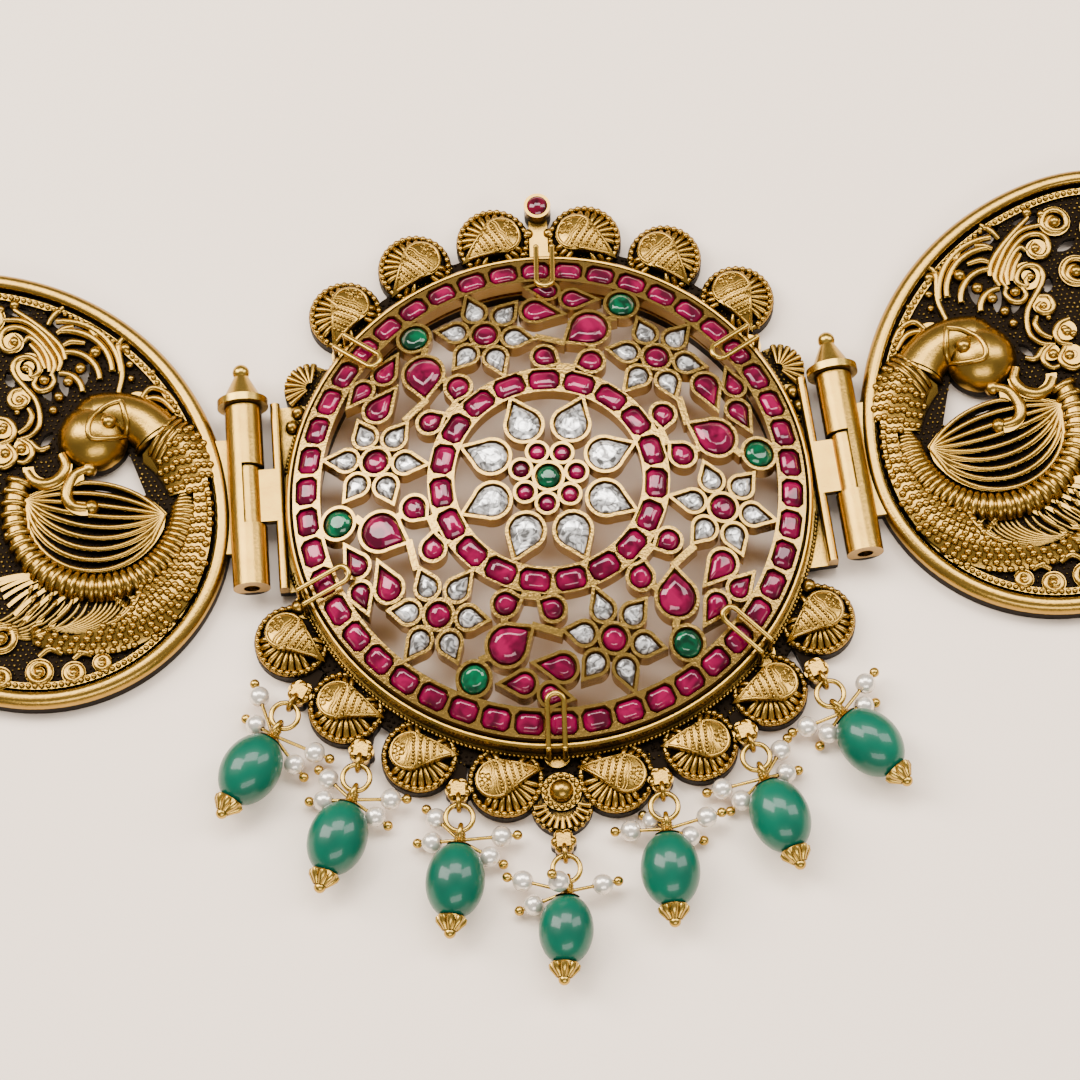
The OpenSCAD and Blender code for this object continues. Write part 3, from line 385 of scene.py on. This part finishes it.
cast_metal = metal_of("medallion_frame", Matrix.Identity(4))
chased = bmesh.new()
lobe_places = []
for hand in (-1, 1):
    mirror = Matrix.Diagonal((hand, 1, 1, 1))
    for degrees in TOP_LOBES:
        lobe_places.append(
            spun(FRAME_TURN - hand * degrees) @ Matrix.Translation((0, LOBE_ORBIT, 0)) @ mirror)
    for degrees in BOTTOM_LOBES:
        lobe_places.append(
            spun(FRAME_TURN + hand * degrees) @ Matrix.Translation((0, -LOBE_ORBIT, 0))
            @ spun(180) @ mirror)
for place in lobe_places:
    for i in range(30):
        spot = place @ polar(BORDER_R, 12 * i, 2.8)
        if spot.xy.length > RING_EDGE + 0.5 and top_of(cast_metal, *spot.xy)[0] < 3.0:
            add_ball(chased, spot, 0.56)

    for i in range(24):
        root = RIB_END
        while root > 2 and top_of(cast_metal, *(place @ polar(root, 15 * i)).xy)[0] < LOBE_FLOOR:
            root -= 0.3
        if root < 4:
            rib = [(root + (RIB_END - root) * t, 3.4 - 0.9 * t**2) for t in (0, 0.3, 0.6, 0.8, 1)]
            add_wires(chased, [[(place @ polar(r, 15 * i, z), 0.125 * r) for r, z in rib]])

    def on_mango(x, y, lift):
        """A point of the mango, lifted off its metal."""
        spot = place @ MANGO @ Vector((x, y, 0))
        return Vector((spot.x, spot.y, top_of(cast_metal, *spot.xy)[0] + lift))

    outline = [on_mango(*polar(MANGO_R - 0.3, a).xy, 0) for a in range(72, 289, 12)]
    for side in (-1, 1):
        outline = [*outline[::-1], *[
            on_mango(x, side * (mango_half(x) - 0.32), 0) for x in (2.2, 3.4, 4.6, 5.8, 6.6)
        ]]
    add_wires(chased, [[(p, 0.3) for p in outline]])
    for x, y in RINGS:
        ring = [on_mango(*(Vector((x, y)) + polar(0.42, a).xy), 0.05) for a in range(0, 360, 60)]
        add_wires(chased, [[(p, 0.17) for p in ring]], closed=True)
    for x in (-0.45, 0.0):
        wave = [t / 5 for t in range(-5, 6)]
        half = mango_half(x) - 0.5
        add_wires(chased, [[
            (on_mango(x + 0.13 * math.sin(7 * t), half * t, 0.02), 0.16) for t in wave
        ]])
    for x in (0.65, 1.75, 2.85, 3.95, 5.05):
        half = mango_half(x) - 0.55
        count = max(round(2 * half / 0.6), 1)
        for j in range(count + 1):
            add_ball(chased, on_mango(x, half * (2 * j / count - 1), 0.05), 0.33, mesh=GRAIN)
        if x < 5:
            half = mango_half(x + 0.55) - 0.5
            add_wires(chased, [[(on_mango(x + 0.55, half * t, 0), 0.13) for t in (-1, 0, 1)]])

# Rosettes over the drops, and the ball and fan at the bottom: cast as rounds of petals. For
# each drop: its angle from the bottom, its distance from the lobes, lean of its jump ring,
# lean of its bead and size of its bead.
FAN = Vector((0, -50.4, 0))
DROPS = [(-53.1, 3.8, -30, -33.5, 1), (-37.5, 4.2, -10, -20.5, 1), (-18.7, 3.4, 1, -7.5, 1),
         (0, 9.7, 3, -4.5, 0.92), (18.2, 2.8, 4, 2, 1), (36.1, 2.6, 17, 18.5, 1),
         (53.5, 4.0, 22.5, 39, 1)]
for turn, out, *_ in DROPS:
    middle = polar(LOBE_ORBIT + out, FRAME_TURN - 90 + turn, 3.55)
    for k in range(6):
        add_ball(chased, middle + polar(1.25, 60 * k + turn), 0.8, 0.8)
    add_ball(chased, middle + Vector((0, 0, 0.35)), 0.75)
for k in range(16):
    spot = FAN + polar(2.6, 22.5 * k) + Vector((0, 1.8, 3.0))
    add_ball(chased, spun(FRAME_TURN) @ spot, 0.5)
for k in range(11):
    ray = [spun(FRAME_TURN) @ (FAN + polar(r, -170 + 16 * k, 3.1)) for r in (2.5, 4.4)]
    add_wires(chased, [[(ray[0], 0.28), (ray[1], 0.5)]])
    add_ball(chased, spun(FRAME_TURN) @ (FAN + polar(4.6, -162 + 16 * k, 2.4)), 0.5)

# Fluted shells beside the hinges, granules on the low ground and a milled edge round the ring.
SHELL_AT = 60.5
for hand in (-1, 1):
    shell = spun(FRAME_TURN + 90 - SHELL_AT * hand) @ Matrix.Translation((RING_EDGE + 0.9, 0, 0))
    for k in range(-4, 5):
        add_wires(chased, [[
            (shell @ polar(r, 17 * k, 3.9 - 0.045 * r**2), 0.14 * r) for r in (0.8, 2, 3.2, 4.2)
        ]])

random.seed(4)
for degrees in range(0, 3600, 11):
    for radius in (43.4, 44.2, 45.0, 45.8):
        spot = polar(radius + random.uniform(-0.3, 0.3), 0.1 * degrees + random.uniform(-0.4, 0.4))
        height = top_of(cast_metal, *spot.xy)[0]
        if 1.7 < height < 2.45:
            add_ball(chased, (*spot.xy, height), random.uniform(0.22, 0.34), mesh=GRAIN)
MILLING, MILL_STEP = 380, 0.947
for k in range(MILLING):
    if top_of(cast_metal, *polar(RING_EDGE + 0.5, MILL_STEP * k).xy)[0] < 3.3:
        add_ball(chased, polar(RING_EDGE + 0.1, MILL_STEP * k, 3.0), 0.37, mesh=GRAIN)
bmesh.ops.scale(chased, vec=(MM, MM, MM), verts=chased.verts)
metal_piece("lobe_chasing", chased, antique_gold, "medallion")

# Domed disc: thin gold walls soldered to an openwork plate, their tops burnished over the stones by
# hand, with a warm matt colour. The darker orange brown on its walls and in its pockets is painted
# shade.
foil_gold = rubbed_and_shaded_gold(
    "foil_gold", patina_and_shade=(0.26, 0.11, 0.016), bright=(0.56, 0.34, 0.08), reach=0.8, grain=1.2
)
give(foil_gold, "kundan_disc")

# Set stones: flat-cut glass on coloured foil, rounded at the edges by polishing.
def stone_glass(name, deep, light, scale, streaks, foil):
    """Glass over foil, whose light and dark patches come from the foil's folds: the light ones are
    painted reflection.
    """
    material, tree, shader = new_material(name)
    painted_foil_reflection = noise_on(tree, scale, detail=2, distortion=streaks)
    shades = ramp_between(tree, [(0.38, deep), (0.66, light)])
    wire_up(tree, ((painted_foil_reflection, "Fac"), (shades, "Fac")), ((shades, "Color"), (shader, "Base Color")))
    shader.inputs["Roughness"].default_value = 0.06
    shader.inputs["Metallic"].default_value = foil
    shader.inputs["Specular IOR Level"].default_value = 0.25
    shader.inputs["Coat Weight"].default_value = 0.6
    shader.inputs["Coat Roughness"].default_value = 0.03
    return material


# The lighter colour of each stone is its painted reflection off the foil, the darker one is the
# glass.
ruby_glass = stone_glass("ruby_glass", (0.07, 0.0, 0.013), (0.27, 0.0, 0.052), 0.35, 0.5, 0.2)
emerald_glass = stone_glass("emerald_glass", (0.0, 0.025, 0.01), (0.0, 0.12, 0.045), 0.45, 0.5, 0.2)
clear_glass = stone_glass("clear_glass", (0.12, 0.115, 0.11), (0.95, 0.94, 0.92), 0.6, 2.0, 0.4)
garnet_glass = stone_glass("garnet_glass", (0.03, 0.0, 0.004), (0.13, 0.0, 0.015), 0.5, 0.5, 0.1)


def polished_copy(name, material, body, rounding=0.0, smooth_below=30):
    """Stands for a CAD node with the same solids, merged and with their edges rounded off."""
    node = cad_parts[name]
    shape = bmesh.new()
    shape.from_mesh(node.data)
    bmesh.ops.remove_doubles(shape, verts=shape.verts, dist=0.002 * MM)
    bmesh.ops.dissolve_limit(
        shape, angle_limit=math.radians(1.0), verts=shape.verts, edges=shape.edges
    )
    if rounding:
        bmesh.ops.bevel(
            shape, geom=shape.edges, offset=rounding * MM, affect="EDGES", segments=3,
            profile=0.5, material=-1, clamp_overlap=True,
        )
    mesh = bpy.data.meshes.new(name + "_polished")
    shape.to_mesh(mesh)
    shape.free()
    mesh.materials.append(material)
    mesh.shade_smooth()
    mesh.set_sharp_from_angle(angle=math.radians(smooth_below))
    piece = bpy.data.objects.new(name + "_polished", mesh)
    bpy.context.scene.collection.objects.link(piece)
    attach(piece, body)
    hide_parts(name)
    return piece


for name in ("outer_rubies", "inner_rubies", "flower_rubies", "large_pears", "small_pears",
             "centre_rubies"):
    polished_copy(name, ruby_glass, "medallion", rounding=0.32, smooth_below=60)
for name in ("emeralds", "centre_emerald"):
    polished_copy(name, emerald_glass, "medallion", rounding=0.3, smooth_below=60)
for name in ("petal_stones", "centre_petals"):
    polished_copy(name, clear_glass, "medallion", rounding=0.12)

# Clips, jump rings, drop wires and hinge pins: drawn and turned brass, plated in a clean yellow
# gold with a satin polish. Their darker colour in hollows and on steep sides is painted shade.
wire_gold = rubbed_and_shaded_gold(
    "wire_gold", patina_and_shade=(0.12, 0.06, 0.012), bright=(0.58, 0.37, 0.07), reach=1.0, grain=0.2
)
give(wire_gold, "wire_clips", "jump_rings", "left_hinge_pin", "right_hinge_pin")
give(wire_gold, *[f"drop_wire_{k}" for k in range(1, 8)])
give(garnet_glass, "stem_cabochon")

# Each drop's wire ends in a fluted cap under its bead, and the pearls' pins are coiled over it.
LUG_DROP, RING_DROP, DROP_Z = 2.3, 5.0, 4.7
BEAD_L, LOOP_OVER, CAP_GAP = 11.4, 2.05, 0.12
fluting = bmesh.new()
for turn, out, ring_lean, bead_lean, size in DROPS:
    rosette = spun(FRAME_TURN) @ Matrix.Translation(polar(LOBE_ORBIT + out, turn - 90))
    place = (rosette @ spun(ring_lean) @ Matrix.Translation((0, -LUG_DROP - RING_DROP, DROP_Z))
             @ spun(bead_lean - ring_lean)
             @ Matrix.Translation((0, -BEAD_L * size / 2 - LOOP_OVER, 0)))
    foot = -BEAD_L * size / 2 - CAP_GAP
    for k in range(8):
        petal = []
        for radius, down, thick in ((1.95, 0.1, 0.62), (1.75, 0.7, 0.72), (1.2, 1.5, 0.55),
                                    (0.85, 2.1, 0.4)):
            across = polar(radius, 45 * k)
            petal.append((place @ Vector((across.x, foot - down, across.y)), thick))
        add_wires(fluting, [petal])
    coil = [polar(0.75, 40 * k) for k in range(32)]
    add_wires(fluting, [[
        (place @ Vector((p.x, -foot + 0.55 + 0.045 * k, p.y)), 0.2) for k, p in enumerate(coil)
    ]])
bmesh.ops.scale(fluting, vec=(MM, MM, MM), verts=fluting.verts)
metal_piece("cap_fluting", fluting, wire_gold, "medallion")

# Green beads: opaque dyed stone, tumbled to a soft gloss.
bead_stone, tree, shader = new_material("bead_stone")
cloud = noise_on(tree, 0.12, detail=3)
shades = ramp_between(tree, [(0.3, (0.0, 0.065, 0.038)), (0.75, (0.0, 0.11, 0.062))])
wire_up(tree, ((cloud, "Fac"), (shades, "Fac")), ((shades, "Color"), (shader, "Base Color")))
shader.inputs["Roughness"].default_value = 0.35
shader.inputs["Specular IOR Level"].default_value = 0.2
shader.inputs["Coat Weight"].default_value = 0.35
shader.inputs["Coat Roughness"].default_value = 0.08
for k in range(1, 8):
    polished_copy(f"green_bead_{k}", bead_stone, "medallion")

# Pearls: glass with a pearl lacquer, drilled for their pins.
pearl_coat, tree, shader = new_material("pearl_coat")
cloud = noise_on(tree, 0.5, detail=2)
shades = ramp_between(tree, [(0.3, (0.70, 0.62, 0.52)), (0.7, (0.84, 0.77, 0.68))])
wire_up(tree, ((cloud, "Fac"), (shades, "Fac")), ((shades, "Color"), (shader, "Base Color")))
shader.inputs["Roughness"].default_value = 0.25
shader.inputs["Metallic"].default_value = 0.6
shader.inputs["Coat Weight"].default_value = 0.8
shader.inputs["Coat Roughness"].default_value = 0.1
polished_copy("pearls", pearl_coat, "medallion")

# Side panels: oval castings in antique gold, each pierced and chased with a peacock whose
# tail fills the field with scrolls. The rim is polished, with a line and beading inside it.
HINGE_X, HINGE_Y, PANEL_X = 48.6, 3.2, 39.4
PANELS = {"left": (-1, 1.1, 5.8), "right": (1, 5.1, 8.4)}
END_R, LONG, SHORT, OVAL_TURN = 30.4, 40.4, 34.0, 52
END_AT = LONG - END_R
SIDE_R = (END_AT**2 + SHORT**2 - END_R**2) / (2 * (SHORT - END_R))
SIDE_AT = SIDE_R - SHORT
MEET = math.degrees(math.atan2(SIDE_AT, END_AT))
OVAL_ARCS = [
    (Vector((END_AT, 0, 0)), END_R, -MEET, 2 * MEET),
    (Vector((0, -SIDE_AT, 0)), SIDE_R, MEET, 180 - 2 * MEET),
    (Vector((-END_AT, 0, 0)), END_R, 180 - MEET, 2 * MEET),
    (Vector((0, SIDE_AT, 0)), SIDE_R, 180 + MEET, 180 - 2 * MEET),
]
PLATE_TOP = 2.0


def oval_run(inset, count, height):
    """Evenly spaced points round the panel's outline, drawn inset from its edge."""
    runs = [math.radians(sweep) * (r - inset) for _, r, _, sweep in OVAL_ARCS]
    points = []
    for i in range(count):
        left = sum(runs) * i / count
        for run, (centre, r, start, sweep) in zip(runs, OVAL_ARCS):
            if left <= run:
                break
            left -= run
        points.append(spun(OVAL_TURN) @ (centre + polar(r - inset, start + sweep * left / run)))
    return [Vector((p.x, p.y, height)) for p in points]


def add_moulding(shape, profile, count=220):
    """A strip round the panel with a profile of (inset, height)."""
    rows = [[shape.verts.new(p) for p in oval_run(inset, count, z)] for inset, z in profile]
    for lower, upper in zip(rows, rows[1:]):
        for i in range(count):
            j = (i + 1) % count
            shape.faces.new((lower[i], lower[j], upper[j], upper[i]))


def flowing(points, height, steps=5):
    """A smooth run through a few charted points, by the Catmull-Rom rule."""
    points = [Vector((*p, height)) for p in points]
    ends = [2 * points[0] - points[1], *points, 2 * points[-1] - points[-2]]
    run = []
    for a, b, c, d in zip(ends, ends[1:], ends[2:], ends[3:]):
        for i in range(steps):
            t = i / steps
            run.append(0.5 * (
                2 * b + (c - a) * t + (2 * a - 5 * b + 4 * c - d) * t**2
                + (3 * b - a - 3 * c + d) * t**3
            ))
    return [*run, points[-1]]


def swelling(points, thick, thin):
    """Gives a run of points a radius that swells towards its middle."""
    last = len(points) - 1
    return [
        (p, thin + (thick - thin) * math.sin(math.pi * (0.15 + 0.7 * i / last)))
        for i, p in enumerate(points)
    ]


def bow(start, end, depth, height, steps=18):
    """An arc between two points that bulges to the left of its run by depth."""
    along = end - start
    half = along.length / 2
    radius = (half**2 + depth**2) / (2 * abs(depth))
    across = Vector((-along.y, along.x, 0)).normalized() * math.copysign(1, depth)
    run = []
    for i in range(steps + 1):
        x = half * (2 * i / steps - 1)
        y = math.sqrt(radius**2 - x**2) - (radius - abs(depth))
        spot = (start + end) / 2 + along.normalized() * x + across * y
        run.append(Vector((spot.x, spot.y, height)))
    return run


# Scrolls, charted in millimetres outwards and upwards from the middle of the panel.
SWIRLS = [
    [(-18.8, 13.8), (-19.9, 18.5), (-19.4, 23.2), (-20.6, 24.6), (-21.6, 23.4)],
    [(-2.5, 31.2), (-5.5, 28.8), (-8.4, 26.0), (-10.2, 23.6), (-10.7, 21.6)],
    [(0.5, 29.6), (-4.0, 29.0), (-7.0, 26.5), (-9.0, 23.5), (-9.9, 21.4), (-9.4, 19.6)],
    [(-2.4, 26.6), (-3.3, 25.4), (-2.8, 24.2), (-1.4, 23.8), (-0.3, 24.8), (-0.2, 26.6),
     (-1.4, 27.9), (-3.6, 27.8), (-5.8, 26.2), (-7.9, 23.4), (-8.9, 21.0), (-8.2, 18.8)],
    [(-4.0, 25.2), (-4.9, 26.0), (-6.6, 24.4), (-7.8, 22.0), (-8.0, 19.6)],
    [(-5.0, 24.8), (-6.4, 22.8), (-7.3, 20.2)],
    [(-3.9, 20.9), (-4.9, 20.2), (-5.0, 19.0), (-6.2, 19.6), (-6.3, 21.0), (-5.4, 22.2),
     (-4.0, 22.6), (-2.6, 22.1), (-2.0, 20.8), (-2.6, 19.0), (-4.2, 16.8), (-5.6, 14.8),
     (-6.2, 12.4), (-6.0, 10.2), (-4.6, 8.6), (-2.4, 8.0)],
    [(-8.4, 19.4), (-8.7, 18.0), (-7.8, 16.6), (-6.3, 16.4), (-5.4, 17.6), (-5.8, 18.8)],
    [(-4.4, 13.4), (-4.9, 12.0), (-4.1, 10.2), (-2.6, 9.2)],
    [(-3.4, 16.9), (-1.9, 16.6), (-1.3, 15.2), (-2.0, 13.9), (-3.4, 13.9), (-4.0, 15.0),
     (-3.2, 15.7)],
    [(0.8, 12.2), (-1.0, 11.6), (-2.0, 10.0), (-1.4, 8.2), (0.4, 7.6)],
    [(-3.0, 8.0), (-4.5, 6.8), (-4.7, 5.2), (-3.6, 4.0), (-2.4, 4.2)],
    [(-0.8, 7.4), (-2.0, 5.8), (-1.6, 4.2), (-0.2, 3.4), (1.0, 3.7)],
    [(-8.0, 28.0), (-9.0, 29.6), (-10.6, 31.0)],
    [(-9.4, 26.4), (-10.6, 27.1), (-12.2, 27.4)],
    [(-10.4, 24.2), (-11.8, 24.7), (-14.0, 24.3)],
    [(-14.9, 26.6), (-15.5, 25.8), (-15.2, 24.6)],
    [(-22.6, 13.4), (-24.4, 15.4), (-26.8, 14.6), (-28.6, 12.2)],
    [(-22.2, 12.8), (-24.4, 13.6), (-26.4, 13.0), (-28.2, 10.8)],
    [(-4.6, 7.6), (-6.0, 6.0), (-7.6, 6.4)],
    [(-4.8, -29.6), (-6.6, -28.4), (-8.6, -29.4)],
    [(-10.3, -30.4), (-11.8, -29.4), (-13.3, -30.0)],
]
BALLS = [
    (-2.4, 25.5, 0.9), (-4.1, 20.6, 0.75), (-7.1, 18.2, 0.95), (-2.9, 15.1, 0.7),
    (-2.5, 12.9, 0.55), (0.0, 10.0, 0.9), (-3.0, 6.4, 0.95), (-0.4, 5.8, 0.95),
    (-2.6, 32.0, 0.95), (-0.3, 31.4, 0.8), (-15.9, 25.6, 0.6), (-21.2, 19.9, 0.7),
    (-21.3, 17.4, 0.6), (-26.6, 10.9, 0.7), (-24.9, 18.2, 0.6), (-10.4, 3.4, 0.8),
    (-9.3, 4.4, 0.6), (-12.0, 1.6, 0.85), (-20.6, 22.8, 1.0), (-15.6, 22.5, 1.1),
    (-13.1, 19.8, 1.05), (-11.0, 17.6, 0.95), (-9.4, 15.1, 0.9), (-8.4, 12.8, 0.8),
]
# Round scrolls of the tail's outer half: place and radius.
COILS = [
    (3.5, 20.4, 2.8), (8.5, 15.9, 3.0), (9.5, 8.6, 2.6), (1.6, 29.8, 2.6), (8.5, 27.6, 3.0),
    (14.8, 22.5, 3.3), (15.6, 15.9, 2.6), (21.8, 18.2, 3.0), (22.9, 10.9, 3.0),
    (13.9, 4.4, 2.8), (23.3, 3.9, 3.0), (9.2, -2.7, 2.8), (22.6, -3.6, 3.0),
    (15.7, -5.3, 2.8), (18.6, -11.4, 3.0), (5.9, -10.1, 2.6), (11.5, -14.8, 2.6),
    (15.2, -19.1, 2.8), (5.8, -18.5, 2.6), (8.7, -24.6, 2.8), (1.1, -26.0, 2.6),
    (1.5, -32.7, 1.9), (-4.8, -32.2, 2.3), (-10.3, -32.7, 1.9), (-14.9, -31.4, 1.6),
]
# Crest plumes: middle and radius of each quarter arc.
PLUMES = [(-9.7, 18.5, 10.0), (-10.5, 18.9, 7.8), (-10.9, 17.6, 5.3), (-9.7, 15.6, 3.6)]
# Profiles of the rim and of the line inside it: inset and height.
RIM_PROFILE = [
    (-0.03, 0.2), (-0.03, 2.9), (0.15, 3.25), (0.38, 3.56), (0.65, 3.78), (0.92, 3.92),
    (1.2, 3.98), (1.7, 3.98), (2.0, 3.93), (2.2, 3.8), (2.36, 3.62), (2.43, 3.4), (2.43, 2.0),
]
LINE_PROFILE = [(2.6, 2.0), (2.68, 2.35), (2.85, 2.42), (3.0, 2.3), (3.05, 2.0)]
# The breast curls round BREAST as a ridge, CREST_Z high, with a section of radius HUMP.
BREAST, BREAST_R, CREST_Z, HUMP = Vector((-14.5, -7.0, 0)), 17.9, 4.2, 8.05
GARLAND, GARLAND_R, GARLAND_Z = Vector((-15.4, -4.8, 0)), 13.9, 2.4
WING, WING_TURN = Vector((-14.7, -5.0, 0)), 11
# Tufts of feathers under the garland: outer and inner edge of each.
TUFTS = [
    ([(-21.9, -18.3), (-20.9, -21.6), (-18.5, -24.4), (-14.5, -25.9), (-10.5, -26.0)],
     [(-14.5, -20.4), (-13.4, -22.6), (-10.8, -24.2), (-7.5, -24.9), (-4.6, -24.8)]),
    ([(-13.0, -20.5), (-11.6, -23.0), (-8.4, -25.2), (-4.5, -26.3), (-1.0, -26.0)],
     [(-4.5, -16.5), (-3.2, -19.2), (-1.0, -21.6), (1.5, -23.0), (3.6, -23.4)]),
]
EYE = [(-19.8, 12.3), (-17.6, 11.6), (-15.3, 9.8), (-14.4, 7.0), (-15.3, 5.6), (-18.8, 6.0),
       (-20.5, 7.5), (-20.3, 10.0), (-19.8, 12.3)]
EYEBALL = Vector((-17.7, 8.6, 6.0))
NECK_ROOT = Vector((-15.5, 10.8, 1.5))
COLLAR, COLLAR_RUN = Vector((-26.3, 6.5, 0)), Vector((0.6, -0.8, 0))
BEAK = [
    [(-9.6, 4.5), (-10.3, 2.5), (-9.2, 0.4), (-7.1, -0.5), (-5.0, 0.2), (-3.9, 1.9)],
    [(-13.4, 1.6), (-11.6, 0.7), (-10.5, -1.2), (-10.2, -3.0), (-11.2, -4.7), (-13.4, -5.2)],
]
BEAK_ENDS = [(-13.9, 1.8), (-14.1, -4.9)]
THROAT_WIRE, THROAT_Z = 4.13, 1.8


def panel_place(hand, lean, rise):
    """Matrix from a panel's own millimetres to the belt's."""
    return (Matrix.Translation((hand * HINGE_X, HINGE_Y, 0)) @ spun(lean)
            @ Matrix.Diagonal((hand, 1, 1, 1)) @ Matrix.Translation((PANEL_X, rise, 0)))


def body_height(spot):
    """Height of the bird's rounded breast over a point."""
    return CREST_Z - HUMP + math.sqrt(max(HUMP**2 - ((spot - BREAST).length - BREAST_R)**2, 0))


def add_throat(shape):
    """The swelling where the smooth neck goes over into the scaly breast."""
    rows = []
    for k in range(15):
        t = k / 14
        radius = THROAT_WIRE + (HUMP - THROAT_WIRE) * t
        height = THROAT_Z + THROAT_WIRE + (CREST_Z - 0.1 - THROAT_Z - THROAT_WIRE) * t - radius
        half = math.degrees(math.acos((PLATE_TOP - height) / radius))
        rows.append([
            shape.verts.new(BREAST + polar(
                BREAST_R + radius * math.sin(math.radians(half * a / 10)), 130 + 34 * t,
                height + radius * math.cos(math.radians(half * a / 10))))
            for a in range(-10, 11)
        ])
    for lower, upper in zip(rows, rows[1:]):
        for i in range(20):
            shape.faces.new((lower[i], lower[i + 1], upper[i + 1], upper[i]))


def chased_panel(metal):
    """All the chasing of one panel, in its own millimetres, seated on its metal."""
    shape = bmesh.new()
    add_throat(shape)
    throat = BVHTree.FromBMesh(shape)
    add_ball(shape, NECK_ROOT, 4.45)
    bmesh.ops.bisect_plane(
        shape, geom=[*shape.verts, *shape.edges, *shape.faces], plane_co=(0, 0, 1.2),
        plane_no=(0, 0, 1), clear_inner=True,
    )

    def top(spot):
        """Height and slope of what lies highest at a place."""
        return max((top_of(metal, *spot.xy), top_of(throat, *spot.xy)), key=lambda found: found[0])

    def draped(points, lift, radius):
        """A run of points laid over the metal, at one radius."""
        return [(Vector((p.x, p.y, max(top(p)[0], PLATE_TOP) + lift)), radius)
                for p in flowing(points, 0)]

    add_moulding(shape, RIM_PROFILE)
    add_moulding(shape, LINE_PROFILE)
    for spot in oval_run(3.7, 200, 2.85):
        if top(spot)[0] < 3.3:
            add_ball(shape, spot, 0.48)

    wires = [swelling(flowing(run, 2.6), 0.62, 0.32) for run in SWIRLS]
    for x, y, radius in COILS:
        start = math.degrees(math.atan2(y, x)) + 200
        coil = []
        for t in range(29):
            inward = max(t - 16, 0) / 12
            reach = (radius - 0.55) * (1 - 0.62 * inward)
            coil.append(Vector((x, y, 2.65)) + polar(reach, start - 20 * t))
        wires.append(swelling(coil, 0.6, 0.36))
        add_ball(shape, (x, y, 2.6), 0.4 * radius)
    for x, y, radius in PLUMES:
        wires.append(swelling(
            [Vector((x, y, 2.65)) + polar(radius, a) for a in range(88, 181, 7)], 0.7, 0.45))
    for x, y, radius in BALLS:
        add_ball(shape, (x, y, 2.6), radius)
    for outer, inner in TUFTS:
        for k in range(9):
            line = [Vector(a).lerp(Vector(b), k / 8) for a, b in zip(outer, inner)]
            run = draped(line, 0.08, 1)
            wires.append(swelling([p for p, _ in run], 0.42, 0.2))
    for k in range(-6, 3):
        ends = [WING + spun(WING_TURN) @ Vector((s * 11.3, 0, 0)) for s in (-1, 1)]
        run = [p for p in bow(*ends, 1.891 * k + 0.49, 3.15) if 3.0 < top(p)[0] < 3.4]
        if len(run) > 2:
            wires.append([(p, 0.42) for p in run])
    for k in range(40):
        grown = min(k / 4, 1)
        half = 0.7 + 1.25 * grown
        wires.append([
            (GARLAND + polar(GARLAND_R + p.x, 174 + 2.6 * k + 0.07 * k**2, GARLAND_Z + 0.9 * p.y),
             0.34 + 0.24 * grown)
            for p in [polar(half, a) for a in range(10, 171, 20)]
        ])
    for k in range(3):
        middle = COLLAR + 0.95 * k * Vector((-0.8, -0.6, 0))
        wires.append(draped([(middle + t * COLLAR_RUN).xy for t in range(-4, 5)], 0.05, 0.4))
    wires.append(draped(EYE, 0.1, 0.5))
    add_ball(shape, EYEBALL, 1.35)
    wires += [swelling(flowing(run, 3.5), 1.1, 0.55) for run in BEAK]
    for x, y in BEAK_ENDS:
        add_ball(shape, (x, y, 2.9), 1.4)
    add_wires(shape, wires)

    for row in range(13):
        radius = BREAST_R - 5.6 + 0.93 * row
        count = round(2 * math.pi * radius / 1.75)
        for i in range(count):
            spot = BREAST + polar(radius, 360 * (i + row % 2 / 2) / count)
            height, slope = top(spot)
            smooth = (spot - COLLAR).dot(Vector((0.8, 0.6, 0))) > -1.8 and spot.x < -10
            if height > 2.3 and not smooth and (
                abs(height - body_height(spot)) < 0.08 or height == top_of(throat, *spot.xy)[0]
            ):
                add_ball(shape, (*spot.xy, height), 0.66, 1.0, slope)

    for row in range(-42, 43):
        for i in range(-36, 37):
            spot = Vector((0.92 * (i + row % 2 / 2), 0.8 * row, 0))
            spot += polar(random.uniform(0, 0.2), random.uniform(0, 360))
            if abs(top(spot)[0] - PLATE_TOP) < 0.03:
                add_ball(shape, (*spot.xy, PLATE_TOP), random.uniform(0.22, 0.32), mesh=GRAIN)
    return shape


for side, (hand, lean, rise) in PANELS.items():
    place = panel_place(hand, lean, rise)
    shape = chased_panel(metal_of(f"{side}_panel", place))
    bmesh.ops.recalc_face_normals(shape, faces=shape.faces)
    bmesh.ops.transform(shape, matrix=Matrix.Scale(MM, 4) @ place, verts=shape.verts)
    if hand < 0:
        bmesh.ops.reverse_faces(shape, faces=shape.faces)
    metal_piece(f"{side}_panel_chasing", shape, antique_gold, f"{side}_side")

# Chain: round brass wire links, plated. Their darker colour in hollows and on steep sides is
# painted shade.
chain_gold = rubbed_and_shaded_gold(
    "chain_gold", patina_and_shade=(0.12, 0.06, 0.015), bright=(0.55, 0.34, 0.07), reach=1.0, grain=0.2
)
give(chain_gold, "left_chain", "right_chain")
